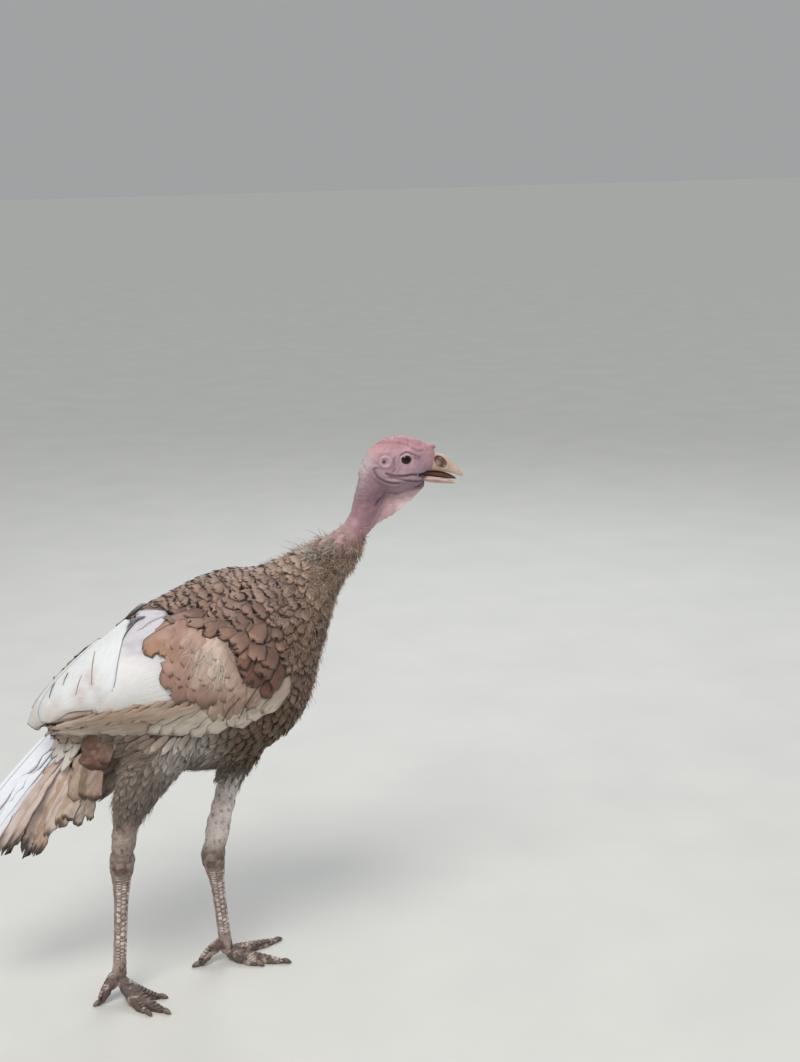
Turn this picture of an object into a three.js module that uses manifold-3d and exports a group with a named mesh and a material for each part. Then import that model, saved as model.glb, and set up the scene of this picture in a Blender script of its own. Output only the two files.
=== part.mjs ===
// A young domestic turkey, life size, in mid step: head, bare neck, feathered trunk, folded wings,
// closed tail, and two legs on four toes each. Millimetres, +X ahead, +Y the bird's left, +Z up.
// The origin is on the floor, below the middle of the bird's box.
import * as THREE from "three";
import { mergeVertices } from "three/addons/utils/BufferGeometryUtils.js";
import Module from "manifold-3d";

const wasm = await Module();
wasm.setup();

// ---- driving sizes ----
const GAP = 0.4; // clear space between neighbouring pieces
const WING_GAP = 1.3; // the same for the wings, whose upper rims lie nearly level
const SIDES = { right: -1, left: 1 }; // the sign of y on each side
const TUCKED = { right: 0, left: 1 }; // the left wing's rim lies under the right one on the rump
const EYE_RADIUS = 8;
const EYE_AT = { x: 299, y: 12.2, z: 621.5 };
const SHANK_DEPTH = 7.8; // half the shank from front to back
const SHANK_WIDTH = 5.8; // half the shank from side to side
const TOE_RADIUS = 5.4;
const SOLE_CUT = 1.2; // how much of a toe's round underside is flat on the floor
const CLAW_LENGTH = 12;
const CLAW_RADIUS = 2.7;
const DEWLAP_THICK = 3.6;
const ROOF_SLOPE = 2.1; // how steeply the sides of the closed tail fall away
const ROOF_RIDGE = 12; // the roundness of its ridge
const HEAD_CUT = { x: 262, z: 583 }; // where the neck meets the head
const NECK_CUT = { x: 236, z: 541 }; // where the feathered neck ends and the bare neck begins
const BASE_CUT = { x: 178, z: 470 }; // where the neck leaves the trunk
const WING_CUT = { x: 30, z: 400 }; // where the coverts end and the flight feathers begin

const COLOURS = {
  skinPink: 0xc08d92,
  neckMauve: 0x9a7078,
  buffDown: 0xa38a70,
  roseBrown: 0x8a6450,
  creamWhite: 0xe6ddd0,
  cinnamon: 0xb08262,
  tan: 0xa98a72,
  taupe: 0x8b7763,
  shankPink: 0xa8918a,
  horn: 0xcdb48c,
  clawHorn: 0x4a3d33,
  eyeBrown: 0x1c100b,
};

// ---- helpers ----
const at = (x, y, z) => new THREE.Vector3(x, y, z);

function material(colour, roughness) {
  return new THREE.MeshStandardMaterial({ color: colour, roughness, metalness: 0 });
}

// A smooth line through evenly spaced values, read at share 0 to 1.
function smooth(values) {
  const curve = new THREE.CatmullRomCurve3(values.map((v, i) => at(i, v, 0)), false, "catmullrom");
  return (share) => curve.getPoint(share).y;
}

// A closed body along a path of stations. Each station has its place and half sizes: up and down
// across the path in the upright plane, and side. A sphere's grid is laid along it, pole to pole.
// over and under are how far the upper and lower edges lean in towards the middle of the bird.
function sweep(stations, { around = 16, along = 14, grow = 0, tip = 0.5 } = {}) {
  const path = new THREE.CatmullRomCurve3(stations.map((s) => s.p));
  const read = (pick) => smooth(stations.map(pick));
  const up = read((s) => s.up);
  const down = read((s) => s.down ?? s.up);
  const side = read((s) => s.side);
  const over = read((s) => s.over ?? 0);
  const under = read((s) => s.under ?? 0);
  const handed = Math.sign(stations.at(-1).p.x - stations[0].p.x);
  const grid = new THREE.SphereGeometry(1, around, along);
  const places = grid.getAttribute("position");
  const v = new THREE.Vector3();
  for (let i = 0; i < places.count; i++) {
    v.fromBufferAttribute(places, i);
    const share = Math.acos(THREE.MathUtils.clamp(v.y, -1, 1)) / Math.PI;
    const turn = Math.atan2(v.z, v.x);
    const pole = Math.sin(Math.PI * share) < 1e-6;
    const round = pole ? 0 : Math.pow(Math.sin(Math.PI * share), tip);
    const skin = pole ? 0 : grow;
    const ahead = path.getTangent(share);
    const across = at(0, handed, 0).addScaledVector(ahead, -handed * ahead.y).normalize();
    const rise = ahead.clone().cross(across).normalize();
    const upper = Math.sin(turn) > 0;
    const high = Math.sin(turn) * ((upper ? up(share) : down(share)) * round + skin);
    const wide = Math.cos(turn) * (side(share) * round + skin);
    const lean = (upper ? over(share) : under(share)) * (Math.sin(turn) * round) ** 2;
    const place = path.getPoint(share);
    place.y -= Math.sign(place.y) * lean;
    place.addScaledVector(rise, high).addScaledVector(across, wide);
    place.addScaledVector(ahead, -grow * Math.cos(Math.PI * share));
    places.setXYZ(i, place.x, place.y, place.z);
  }
  return solid(grid);
}

function solid(geometry) {
  const bare = geometry.index ? geometry.toNonIndexed() : geometry.clone();
  bare.deleteAttribute("normal");
  bare.deleteAttribute("uv");
  const merged = mergeVertices(bare, 1e-3);
  const make = (flip) => {
    const triVerts = new Uint32Array(merged.index.array);
    if (flip) triVerts.reverse();
    const vertProperties = merged.attributes.position.array;
    return new wasm.Manifold(new wasm.Mesh({ numProp: 3, vertProperties, triVerts }));
  };
  const made = make(false);
  return made.volume() < 0 ? make(true) : made;
}

// The half of a body on the side of the plane through point that the normal points to.
function half(body, point, normal) {
  const n = normal.clone().normalize();
  return body.trimByPlane([n.x, n.y, n.z], n.dot(point) + GAP / 2);
}

const largest = (body) => body.decompose().sort((a, b) => b.volume() - a.volume())[0];
const without = (body, ...others) => others.reduce((left, other) => left.subtract(other), body);

const bird = new THREE.Group();

function node(name, body, look) {
  const mesh = largest(body).getMesh();
  const geometry = new THREE.BufferGeometry();
  geometry.setAttribute("position", new THREE.BufferAttribute(mesh.vertProperties, mesh.numProp));
  geometry.setIndex(new THREE.BufferAttribute(mesh.triVerts, 1));
  geometry.computeVertexNormals();
  const made = new THREE.Mesh(geometry, look);
  made.name = name;
  bird.add(made);
}

// ---- trunk and neck, one body from the rump to the skull ----
const TRUNK = [
  { p: at(-124, 0, 318), up: 18, down: 22, side: 24 },
  { p: at(-92, 0, 332), up: 40, down: 58, side: 44 },
  { p: at(-44, 0, 350), up: 82, down: 92, side: 66 },
  { p: at(30, 0, 374), up: 110, down: 122, side: 78 },
  { p: at(104, 0, 395), up: 116, down: 108, side: 79 },
  { p: at(160, 0, 436), up: 98, down: 50, side: 58 },
  { p: at(197, 0, 484), up: 51, down: 26, side: 35 },
  { p: at(223, 0, 519), up: 27, down: 27, side: 24 },
  { p: at(243, 0, 548), up: 14, down: 17.5, side: 17 },
  { p: at(255, 0, 577), up: 17.5, down: 24, side: 16 },
  { p: at(268, 0, 606), up: 25, down: 24, side: 15 },
  { p: at(277, 0, 632), up: 20, down: 20, side: 12 },
];
const trunkAndNeck = (grow = 0) => sweep(TRUNK, { around: 24, along: 26, grow, tip: 0.3 });

// ---- undertail coverts, the soft feathers below the root of the tail ----
const UNDERTAIL = [
  { p: at(-30, 0, 318), up: 40, down: 40, side: 34 },
  { p: at(-66, 0, 282), up: 44, down: 38, side: 34 },
  { p: at(-104, 0, 246), up: 40, down: 22, side: 28 },
  { p: at(-148, 0, 206), up: 22, down: 6, side: 17 },
];
const undertail = (grow = 0) => sweep(UNDERTAIL, { around: 14, along: 9, grow, tip: 0.4 });

// ---- head ----
const HEAD = [
  { p: at(246, 0, 602), up: 20, down: 16, side: 10 },
  { p: at(262, 0, 606), up: 31, down: 32, side: 17 },
  { p: at(283, 0, 611), up: 35.5, down: 37, side: 19.5 },
  { p: at(303, 0, 612), up: 33.5, down: 31, side: 19 },
  { p: at(322, 0, 611), up: 27.5, down: 22, side: 14.5 },
  { p: at(334, 0, 608), up: 18, down: 14, side: 10 },
  { p: at(344, 0, 606), up: 9, down: 6, side: 6.5 },
];
const skull = (grow = 0) => sweep(HEAD, { around: 20, along: 14, grow, tip: 0.42 });

// ---- bill: the upper half hooks at its tip, the lower one is a shallow trough ----
const BILL_UPPER = [
  { p: at(313, 0, 609), up: 4, down: 2, side: 5 },
  { p: at(332, 0, 609), up: 15.5, down: 4, side: 10 },
  { p: at(345, 0, 608), up: 13, down: 6, side: 9 },
  { p: at(357, 0, 603.5), up: 7.4, down: 5, side: 6.5 },
  { p: at(366, 0, 597.5), up: 4.8, down: 4, side: 3.4 },
  { p: at(370, 0, 591.5), up: 2, down: 2, side: 1.4 },
];
const BILL_LOWER = [
  { p: at(311, 0, 598), up: 3, down: 3, side: 5 },
  { p: at(325, 0, 596), up: 4, down: 5, side: 9 },
  { p: at(340, 0, 593.5), up: 3, down: 4.5, side: 7.8 },
  { p: at(354, 0, 590.5), up: 2.4, down: 3.2, side: 5.4 },
  { p: at(368, 0, 587), up: 1.4, down: 1.6, side: 2.2 },
];
// The gape: a slit between the two halves, open to the front.
const GAPE = [
  { p: at(314, 0, 603), up: 0.7, side: 14 },
  { p: at(332, 0, 602), up: 2.5, side: 15 },
  { p: at(352, 0, 597.5), up: 2.8, side: 14 },
  { p: at(378, 0, 590), up: 1.9, side: 12 },
];
const billUpper = (grow = 0) => sweep(BILL_UPPER, { around: 12, along: 9, grow });
const billLower = (grow = 0) => sweep(BILL_LOWER, { around: 10, along: 8, grow });
const gape = sweep(GAPE, { around: 8, along: 8, tip: 0.35 });

// ---- snood, the finger of flesh above the bill ----
const SNOOD = [
  { p: at(324, 0, 629), up: 4.4, side: 4.2 },
  { p: at(331, 0, 632), up: 4, side: 3.6 },
  { p: at(338, 0, 630.5), up: 2.2, side: 2 },
];
const snood = (grow = 0) => sweep(SNOOD, { around: 8, along: 6, grow });

// ---- dewlap, a thin fold of skin from the chin to the throat ----
function dewlap() {
  const outline = new THREE.Shape();
  outline.moveTo(324, 593);
  outline.bezierCurveTo(328, 582, 312, 573, 301, 565);
  outline.bezierCurveTo(286, 553, 271, 550, 256, 533);
  outline.lineTo(249, 546);
  outline.bezierCurveTo(259, 572, 280, 590, 324, 593);
  const rim = 1.3;
  const flat = new THREE.ExtrudeGeometry(outline, {
    depth: DEWLAP_THICK - 2 * rim,
    bevelThickness: rim,
    bevelSize: rim,
    bevelSegments: 1,
    curveSegments: 5,
  });
  flat.rotateX(Math.PI / 2);
  flat.translate(0, DEWLAP_THICK / 2 - rim, 0);
  return solid(flat);
}

// ---- eyes ----
function eye(sign, grow = 0) {
  const ball = new THREE.SphereGeometry(EYE_RADIUS + grow, 12, 8);
  ball.rotateX(Math.PI / 2);
  ball.translate(EYE_AT.x, sign * EYE_AT.y, EYE_AT.z);
  return solid(ball);
}

// ---- wings, folded against the flanks, their upper rims nearly meeting over the rump ----
// tuck is how much lower the left wing's rim lies than the right one's.
const WING = [
  { p: at(156, 64, 392), up: 12, down: 12, side: 6, over: 1, under: 2, tuck: 0 },
  { p: at(118, 78, 398), up: 44, down: 50, side: 10, over: 12, under: 14, tuck: 2 },
  { p: at(60, 86, 402), up: 64, down: 71, side: 11, over: 26, under: 20, tuck: 6 },
  { p: at(-2, 82, 402), up: 62, down: 73, side: 11, over: 44, under: 20, tuck: 16 },
  { p: at(-58, 68, 384), up: 46, down: 47, side: 10, over: 48, under: 14, tuck: 23 },
  { p: at(-104, 48, 359), up: 27, down: 30, side: 9, over: 30, under: 6, tuck: 14 },
  { p: at(-143, 32, 342), up: 16, down: 12, side: 6, over: 12, under: 0, tuck: 7 },
];
function wing(side, grow = 0) {
  const sign = SIDES[side];
  const stations = WING.map((s) => ({
    ...s,
    p: at(s.p.x, sign * s.p.y, s.p.z),
    up: s.up - s.tuck * TUCKED[side],
    over: s.over - 0.5 * s.tuck * TUCKED[side],
  }));
  return sweep(stations, { around: 16, along: 13, grow, tip: 0.4 });
}

// ---- tail, closed and hanging like a steep roof, the outer feathers the lowest ----
const TAIL = [
  { p: at(-84, 0, 350), up: 14, down: 17, side: 26 },
  { p: at(-122, 0, 317), up: 13, down: 17, side: 38 },
  { p: at(-160, 0, 279), up: 12, down: 16, side: 44 },
  { p: at(-200, 0, 236), up: 10, down: 12, side: 41 },
  { p: at(-243, 0, 190), up: 6, down: 7, side: 29 },
];
function tail(grow = 0) {
  const body = sweep(TAIL, { around: 16, along: 10, grow, tip: 0.22 });
  return body.warp((v) => {
    v[2] -= Math.hypot(v[1] * ROOF_SLOPE, ROOF_RIDGE) - ROOF_RIDGE;
  });
}

// ---- legs: knee, hock and the root of the toes, and where each toe ends on the floor ----
const LEGS = {
  right: {
    knee: at(20, -50, 330),
    calf: at(-26, -43, 262),
    calfDepth: 26,
    calfWidth: 21,
    ankle: at(-43, -36, 212),
    hock: at(-49, -31, 172),
    root: at(-61, -29, 27),
    drop: 2.2,
    tips: {
      hallux: [-84, -40, 8, 0.8],
      inner: [-16, -42],
      middle: [-12, -76],
      outer: [-32, -74],
    },
  },
  left: {
    knee: at(110, 48, 300),
    calf: at(84, 32, 238),
    calfDepth: 19,
    calfWidth: 17,
    ankle: at(68, 18, 192),
    hock: at(58, 11, 151),
    root: at(69, 38, 13),
    drop: 2.6,
    tips: {
      hallux: [35, 27, 15, 0.8],
      inner: [104, 13],
      middle: [136, 11],
      outer: [132, 67],
    },
  },
};

function thigh(leg, grow = 0) {
  const stations = [
    { p: leg.knee.clone().lerp(leg.calf, -0.25), up: 28, side: 22 },
    { p: leg.knee, up: 38, side: 27 },
    { p: leg.calf, up: leg.calfDepth, side: leg.calfWidth },
    { p: leg.ankle, up: 14.5, side: 13 },
    { p: leg.ankle.clone().lerp(leg.hock, 0.25), up: 12.5, side: 11 },
  ];
  return sweep(stations, { around: 12, along: 8, grow, tip: 0.35 });
}

function lowerLeg(leg, grow = 0) {
  const shin = (share) => leg.hock.clone().lerp(leg.root, share);
  const stations = [
    { p: leg.ankle.clone().lerp(leg.hock, -0.1), up: 10.5, side: 9 },
    { p: leg.ankle.clone().lerp(leg.hock, 0.5), up: 12.5, side: 10.4 },
    { p: leg.hock, up: 14, side: 11 },
    { p: shin(0.15), up: 10.6, side: 8.4 },
    { p: shin(0.34), up: SHANK_DEPTH, side: SHANK_WIDTH },
    { p: shin(0.66), up: SHANK_DEPTH, side: SHANK_WIDTH },
    { p: shin(0.86), up: 8.8, side: 7.2 },
    { p: shin(1.03), up: 10.4, side: 10 },
  ];
  return sweep(stations, { around: 9, along: 14, grow, tip: 0.3 });
}

// The centre line of a toe, from the root of the foot down to the floor and along it to the tip.
// The hind toe starts higher by lift, and comes down more evenly.
function toeStations(leg, [x, y, lift = 0, drop = leg.drop]) {
  const size = (share) => TOE_RADIUS * (1 - 0.26 * share);
  return [0, 0.2, 0.4, 0.6, 0.8, 1].map((share) => {
    const low = size(share) * (1 - 0.5 * share ** 4) - SOLE_CUT;
    const p = at(x, y, 0).lerp(leg.root, 1 - share);
    p.z = low + (leg.root.z + lift - low) * (1 - share) ** drop;
    return { p, up: size(share), side: size(share) };
  });
}

function toe(leg, tip, grow = 0) {
  return sweep(toeStations(leg, tip), { around: 7, along: 7, grow, tip: 0.3 });
}

function claw(leg, tip, grow = 0) {
  const stations = toeStations(leg, tip);
  const end = stations.at(-1).p;
  const ahead = end.clone().sub(stations.at(-2).p).setZ(0).normalize();
  const reach = (share, z) => end.clone().addScaledVector(ahead, share * CLAW_LENGTH).setZ(z);
  const r = CLAW_RADIUS;
  return sweep([
    { p: reach(-0.4, 1.1 * r), up: r, side: r },
    { p: reach(0.15, 1.5 * r), up: r, side: r },
    { p: reach(0.6, 0.9 * r), up: 0.75 * r, side: 0.7 * r },
    { p: reach(1, 0.1 * r), up: 0.4 * r, side: 0.35 * r },
  ], { around: 6, along: 5, grow });
}

// ---- put the bird together ----
const look = {
  skin: material(COLOURS.skinPink, 0.6),
  neck: material(COLOURS.neckMauve, 0.6),
  down: material(COLOURS.buffDown, 0.9),
  trunk: material(COLOURS.roseBrown, 0.85),
  coverts: material(COLOURS.cinnamon, 0.85),
  flight: material(COLOURS.creamWhite, 0.75),
  undertail: material(COLOURS.tan, 0.85),
  thigh: material(COLOURS.taupe, 0.9),
  shank: material(COLOURS.shankPink, 0.65),
  horn: material(COLOURS.horn, 0.5),
  claw: material(COLOURS.clawHorn, 0.5),
  eye: material(COLOURS.eyeBrown, 0.1),
};

const cuts = {
  head: { point: at(HEAD_CUT.x, 0, HEAD_CUT.z), ahead: at(0.55, 0, 0.83) },
  neck: { point: at(NECK_CUT.x, 0, NECK_CUT.z), ahead: at(0.6, 0, 0.8) },
  base: { point: at(BASE_CUT.x, 0, BASE_CUT.z), ahead: at(0.72, 0, 0.69) },
  wing: { point: at(WING_CUT.x, 0, WING_CUT.z), ahead: at(0.93, 0, 0.37) },
};
const before = (body, cut) => half(body, cut.point, cut.ahead);
const behind = (body, cut) => half(body, cut.point, cut.ahead.clone().negate());

const headAndNeck = skull().add(before(trunkAndNeck(), cuts.neck));
const billAndFace = [billUpper(GAP), billLower(GAP), snood(GAP), gape, eye(-1, GAP), eye(1, GAP)];
node("head", without(before(headAndNeck, cuts.head), ...billAndFace), look.skin);
node("neck_upper", before(behind(headAndNeck, cuts.head), cuts.neck), look.neck);
node("neck_lower", before(behind(trunkAndNeck(), cuts.neck), cuts.base), look.down);
node("bill_upper", without(billUpper(), gape, snood(GAP)), look.horn);
node("bill_lower", without(billLower(), gape), look.horn);
node("snood", snood(), look.skin);
const fleshAbove = [skull(GAP), trunkAndNeck(GAP), billLower(GAP)];
node("dewlap", without(dewlap(), ...fleshAbove), look.skin);

const wings = Object.keys(SIDES).map((side) => wing(side, WING_GAP));
const thighs = Object.values(LEGS).map((leg) => thigh(leg, GAP));
const trunk = behind(trunkAndNeck(), cuts.base);
node("trunk", without(trunk, tail(GAP), ...wings, ...thighs), look.trunk);
node("tail", without(tail(), ...wings), look.flight);
const aboveUndertail = [trunkAndNeck(GAP), tail(GAP), ...wings, ...thighs];
node("undertail", without(undertail(), ...aboveUndertail), look.undertail);

for (const [side, sign] of Object.entries(SIDES)) {
  const leg = LEGS[side];
  node(`eye_${side}`, eye(sign), look.eye);
  node(`wing_${side}_coverts`, before(wing(side), cuts.wing), look.coverts);
  node(`wing_${side}_flight`, behind(wing(side), cuts.wing), look.flight);
  node(`thigh_${side}`, without(thigh(leg), ...wings, lowerLeg(leg, GAP)), look.thigh);
  node(`shank_${side}`, lowerLeg(leg).trimByPlane([0, 0, 1], 0), look.shank);
  const taken = [lowerLeg(leg, GAP)];
  for (const [name, tip] of Object.entries(leg.tips)) {
    const body = without(toe(leg, tip), claw(leg, tip, GAP), ...taken);
    node(`toe_${side}_${name}`, body.trimByPlane([0, 0, 1], 0), look.shank);
    node(`claw_${side}_${name}`, claw(leg, tip).trimByPlane([0, 0, 1], 0), look.claw);
    taken.push(toe(leg, tip, GAP));
  }
}

// The origin goes on the floor below the middle of the box.
const box = new THREE.Box3().setFromObject(bird);
const middle = box.getCenter(new THREE.Vector3());
bird.position.set(-middle.x, -middle.y, -box.min.z);

export default bird;
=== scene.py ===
import functools
import itertools
import math

import bmesh
import bpy
import numpy as np
from mathutils import Matrix, Vector
from mathutils.bvhtree import BVHTree


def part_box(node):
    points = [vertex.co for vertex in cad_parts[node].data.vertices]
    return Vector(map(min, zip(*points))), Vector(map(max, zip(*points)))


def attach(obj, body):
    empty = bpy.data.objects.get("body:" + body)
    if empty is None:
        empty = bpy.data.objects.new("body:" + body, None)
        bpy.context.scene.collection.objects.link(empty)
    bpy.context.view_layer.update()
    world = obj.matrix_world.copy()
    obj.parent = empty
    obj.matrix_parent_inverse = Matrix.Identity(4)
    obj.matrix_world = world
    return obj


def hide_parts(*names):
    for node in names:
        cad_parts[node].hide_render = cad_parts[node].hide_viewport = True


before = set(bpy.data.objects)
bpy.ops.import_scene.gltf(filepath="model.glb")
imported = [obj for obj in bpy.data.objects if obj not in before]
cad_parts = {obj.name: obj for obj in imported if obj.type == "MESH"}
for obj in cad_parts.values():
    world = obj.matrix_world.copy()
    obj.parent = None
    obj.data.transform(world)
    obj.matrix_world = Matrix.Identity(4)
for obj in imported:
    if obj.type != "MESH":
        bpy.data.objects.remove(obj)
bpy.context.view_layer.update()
rng = np.random.default_rng(7)

MM = 0.001
EYE_RADIUS = 8
EYE_AT = np.array([299, 12.2, 621.5])
eye_low, eye_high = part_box("eye_right")
SHIFT = (np.array(eye_low) + np.array(eye_high)) / 2 - EYE_AT * (1, -1, 1) * MM
SIDES = {"right": -1, "left": 1}  # the sign of y on each side


# ---- small helpers ----
def unit(v):
    v = np.asarray(v, float)
    return v / np.maximum(np.linalg.norm(v, axis=-1, keepdims=True), 1e-9)


def lerp(a, b, share):
    return np.asarray(a, float) + (np.asarray(b, float) - np.asarray(a, float)) * share


def ramp(low, high, x):
    """0 below low, 1 above high, and a smooth rise between them. high may be below low."""
    t = np.clip((np.asarray(x, float) - low) / (high - low), 0, 1)
    return t * t * (3 - 2 * t)


def hump(x, width):
    """1 at x = 0, falling off on both sides within about width."""
    return np.exp(-(np.asarray(x, float) / width) ** 2)


def along(values, share):
    """A smooth line through evenly spaced values, read at share 0 to 1."""
    v = np.asarray(values, float)
    v = np.concatenate([[2 * v[0] - v[1]], v, [2 * v[-1] - v[-2]]])
    t = np.clip(np.asarray(share, float), 0, 1) * (len(v) - 3)
    i = np.minimum(t.astype(int), len(v) - 4)
    f = t - i
    if v.ndim > 1:
        f = f[..., None]
    a, b, c, d = v[i], v[i + 1], v[i + 2], v[i + 3]
    return b + 0.5 * f * ((c - a) + f * ((2 * a - 5 * b + 4 * c - d) + f * (3 * (b - c) + d - a)))


SCRAMBLE = np.array([73856093, 19349663, 83492791])  # large primes that mix up a cell's number


def grain(points, size, seed=0):
    """Smooth random values from -1 to 1 at the points, with features about size across."""
    q = np.asarray(points, float) / size
    cell = np.floor(q).astype(np.int64)
    f = q - cell
    f = f * f * (3 - 2 * f)
    total = np.zeros(q.shape[:-1])
    for corner in itertools.product((0, 1), repeat=3):
        c = (cell + corner) * SCRAMBLE
        h = (c[..., 0] ^ c[..., 1] ^ c[..., 2] ^ (seed * 40503)) & 0xFFFFFFFF
        h = ((h ^ (h >> 13)) * 1274126177) & 0xFFFFFFFF
        h = ((h ^ (h >> 16)) * 668265263) & 0xFFFFFFFF
        weight = np.where(corner, f, 1 - f).prod(axis=-1)
        total += weight * (h / 0xFFFFFFFF * 2 - 1)
    return total


def colour(text, alpha=1.0):
    """An sRGB hex colour as linear red, green, blue and alpha."""
    text = text.lstrip("#")
    c = np.array([int(text[i:i + 2], 16) / 255 for i in (0, 2, 4)])
    c = np.where(c <= 0.04045, c / 12.92, ((c + 0.055) / 1.055) ** 2.4)
    return np.array([*c, alpha])


def blend(base, other, share):
    """Mixes colours by a share for each place."""
    return base + (np.asarray(other, float) - base) * np.clip(share, 0, 1)[..., None]


def even_tint(shape, tone):
    """The same colour at each place."""
    return np.broadcast_to(colour(tone), (*shape, 4)).copy()


def painted(tint, layers):
    """Lays colours over a tint, one after another, each with its share from 0 to 1."""
    for tone, share in layers:
        tint = blend(tint, colour(tone), share)
    return tint


def trace(points, x, z):
    """How far each x, z is from a smooth line through points, and the share of the line it is at."""
    line = along(points, np.linspace(0, 1, 8 * len(points)))
    a, step = line[:-1], np.diff(line, axis=0)
    p = np.stack([x, z], axis=-1)[:, None]
    t = np.clip(((p - a) * step).sum(-1) / (step ** 2).sum(-1), 0, 1)
    gap = np.linalg.norm(p - a - step * t[..., None], axis=-1)
    best = gap.argmin(1)
    rows = np.arange(len(best))
    return gap[rows, best], (best + t[rows, best]) / len(step)


def inside(outline, x, z):
    """Which x, z lie within a closed outline."""
    found = np.zeros(np.shape(x), bool)
    for (x0, z0), (x1, z1) in zip(outline, np.roll(outline, -1, axis=0)):
        crosses = (z0 > z) != (z1 > z)
        at = x0 + (z - z0) * (x1 - x0) / ((z1 - z0) or 1e-9)
        found ^= crosses & (x < at)
    return found


# ---- swept bodies, the same as the solids' ----
def new_bmesh(points, faces):
    bm = bmesh.new()
    verts = [bm.verts.new(p) for p in points]
    for face in faces:
        bm.faces.new([verts[i] for i in face])
    return bm


def taken(bm):
    """The points and faces of a bmesh that isn't needed any longer."""
    points = np.array([v.co for v in bm.verts])
    faces = [[v.index for v in f.verts] for f in bm.faces]
    bm.free()
    return points, faces


def smooth(bm, verts, times):
    for _ in range(times):
        bmesh.ops.smooth_vert(bm, verts=verts, factor=0.5, use_axis_x=True, use_axis_y=True, use_axis_z=True)


def tree_of(points, faces):
    return BVHTree.FromPolygons([list(p) for p in points], [list(f) for f in faces])


def surface(rows, share, turn, grow=0, tip=0.5):
    """Points on a closed body along a path of stations: x, y, z, up, down, side[, over, under]."""
    rows = np.asarray(rows, float)
    share = np.asarray(share, float)
    read = along(rows, share)
    step = 1e-3
    ahead = unit(along(rows[:, :3], share + step) - along(rows[:, :3], share - step))
    handed = np.sign(rows[-1, 0] - rows[0, 0])
    across = unit(np.array([0, handed, 0]) - handed * ahead[..., 1:2] * ahead)
    rise = unit(np.cross(ahead, across))
    bulge = np.maximum(np.sin(math.pi * share), 0) ** tip
    skin = np.where(np.sin(math.pi * share) < 1e-6, 0, grow)
    upper = np.sin(turn) > 0
    high = np.sin(turn) * (np.where(upper, read[..., 3], read[..., 4]) * bulge + skin)
    wide = np.cos(turn) * (read[..., 5] * bulge + skin)
    place = read[..., :3].copy()
    if rows.shape[1] > 6:
        lean = np.where(upper, read[..., 6], read[..., 7]) * (np.sin(turn) * bulge) ** 2
        place[..., 1] -= np.sign(place[..., 1]) * lean
    place += rise * high[..., None] + across * wide[..., None]
    return place - ahead * (grow * np.cos(math.pi * share))[..., None]


def body(rows, around=32, steps=28, grow=0, tip=0.5):
    """A swept body as points and faces, from a sphere's grid laid along the path."""
    bm = bmesh.new()
    bmesh.ops.create_uvsphere(bm, u_segments=around, v_segments=steps, radius=1)
    grid, faces = taken(bm)
    share = np.arccos(np.clip(grid[:, 2], -1, 1)) / math.pi
    turn = np.arctan2(grid[:, 1], grid[:, 0])
    return surface(rows, share, turn, grow, tip), faces


def slimmer(rows, depth):
    """The same stations with their half sizes less by depth, one number for each."""
    rows = np.array(rows, float)
    rows[:, 3:6] = np.maximum(rows[:, 3:6] - np.reshape(depth, (-1, 1)), 1)
    return rows


def joined(parts):
    """Several (points, faces) as one."""
    points, faces, count = [], [], 0
    for p, f in parts:
        points.append(p)
        faces += [[i + count for i in face] for face in f]
        count += len(p)
    return np.concatenate(points), faces


def new_mesh(name, points, faces):
    mesh = bpy.data.meshes.new(name)
    mesh.from_pydata((np.asarray(points) * MM + SHIFT).tolist(), [], faces)
    mesh.update()
    return mesh


def new_object(name, data):
    made = bpy.data.objects.new(name, data)
    bpy.context.scene.collection.objects.link(made)
    return made


def new_piece(name, mesh, slot, *materials):
    """An object of the finished mesh, which rides on the bird's one body."""
    piece = new_object(name, mesh)
    for each in materials:
        mesh.materials.append(each)
    mesh.shade_smooth()
    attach(piece, "root")
    return piece


def fused(name, parts, voxel):
    """One closed mesh round all the parts, as points in the bird's millimetres and faces."""
    mesh = new_mesh(name, *joined(parts))
    holder = new_object(name, mesh)
    remesh = holder.modifiers.new("fuse", "REMESH")
    remesh.mode = "VOXEL"
    remesh.voxel_size = voxel * MM
    done = holder.evaluated_get(bpy.context.evaluated_depsgraph_get()).to_mesh()
    points = np.empty(len(done.vertices) * 3)
    done.vertices.foreach_get("co", points)
    faces = [list(p.vertices) for p in done.polygons]
    bpy.data.objects.remove(holder)
    bpy.data.meshes.remove(mesh)
    return (points.reshape(-1, 3) - SHIFT) / MM, faces


# ---- the bird's stations: x, y, z, half sizes up, down and side ----
TRUNK = [
    (-124, 0, 318, 18, 22, 24), (-92, 0, 332, 40, 58, 44), (-44, 0, 350, 82, 92, 66),
    (30, 0, 374, 110, 122, 78), (104, 0, 395, 116, 108, 79), (160, 0, 436, 98, 50, 58),
    (197, 0, 484, 51, 26, 35), (223, 0, 519, 27, 27, 24), (243, 0, 548, 14, 17.5, 17),
    (255, 0, 577, 17.5, 24, 16), (268, 0, 606, 25, 24, 15), (277, 0, 632, 20, 20, 12),
]
TRUNK_COAT = (6, 9, 9, 9, 9, 9, 7, 4, 1, 0, 0, 0)  # how deep the coat is at each station
UNDERTAIL = [
    (-30, 0, 318, 40, 40, 34), (-66, 0, 282, 44, 38, 34), (-104, 0, 246, 40, 22, 28),
    (-148, 0, 206, 22, 6, 17),
]
HEAD = [
    (246, 0, 602, 20, 16, 10), (262, 0, 606, 31, 32, 17), (283, 0, 611, 35.5, 37, 19.5),
    (303, 0, 612, 33.5, 31, 19), (322, 0, 611, 27.5, 22, 14.5), (334, 0, 608, 18, 14, 10),
    (344, 0, 606, 9, 6, 6.5),
]
SNOOD = [(324, 0, 629, 4.4, 4.4, 4.2), (331, 0, 632, 4, 4, 3.6), (338, 0, 630.5, 2.2, 2.2, 2)]
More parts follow.
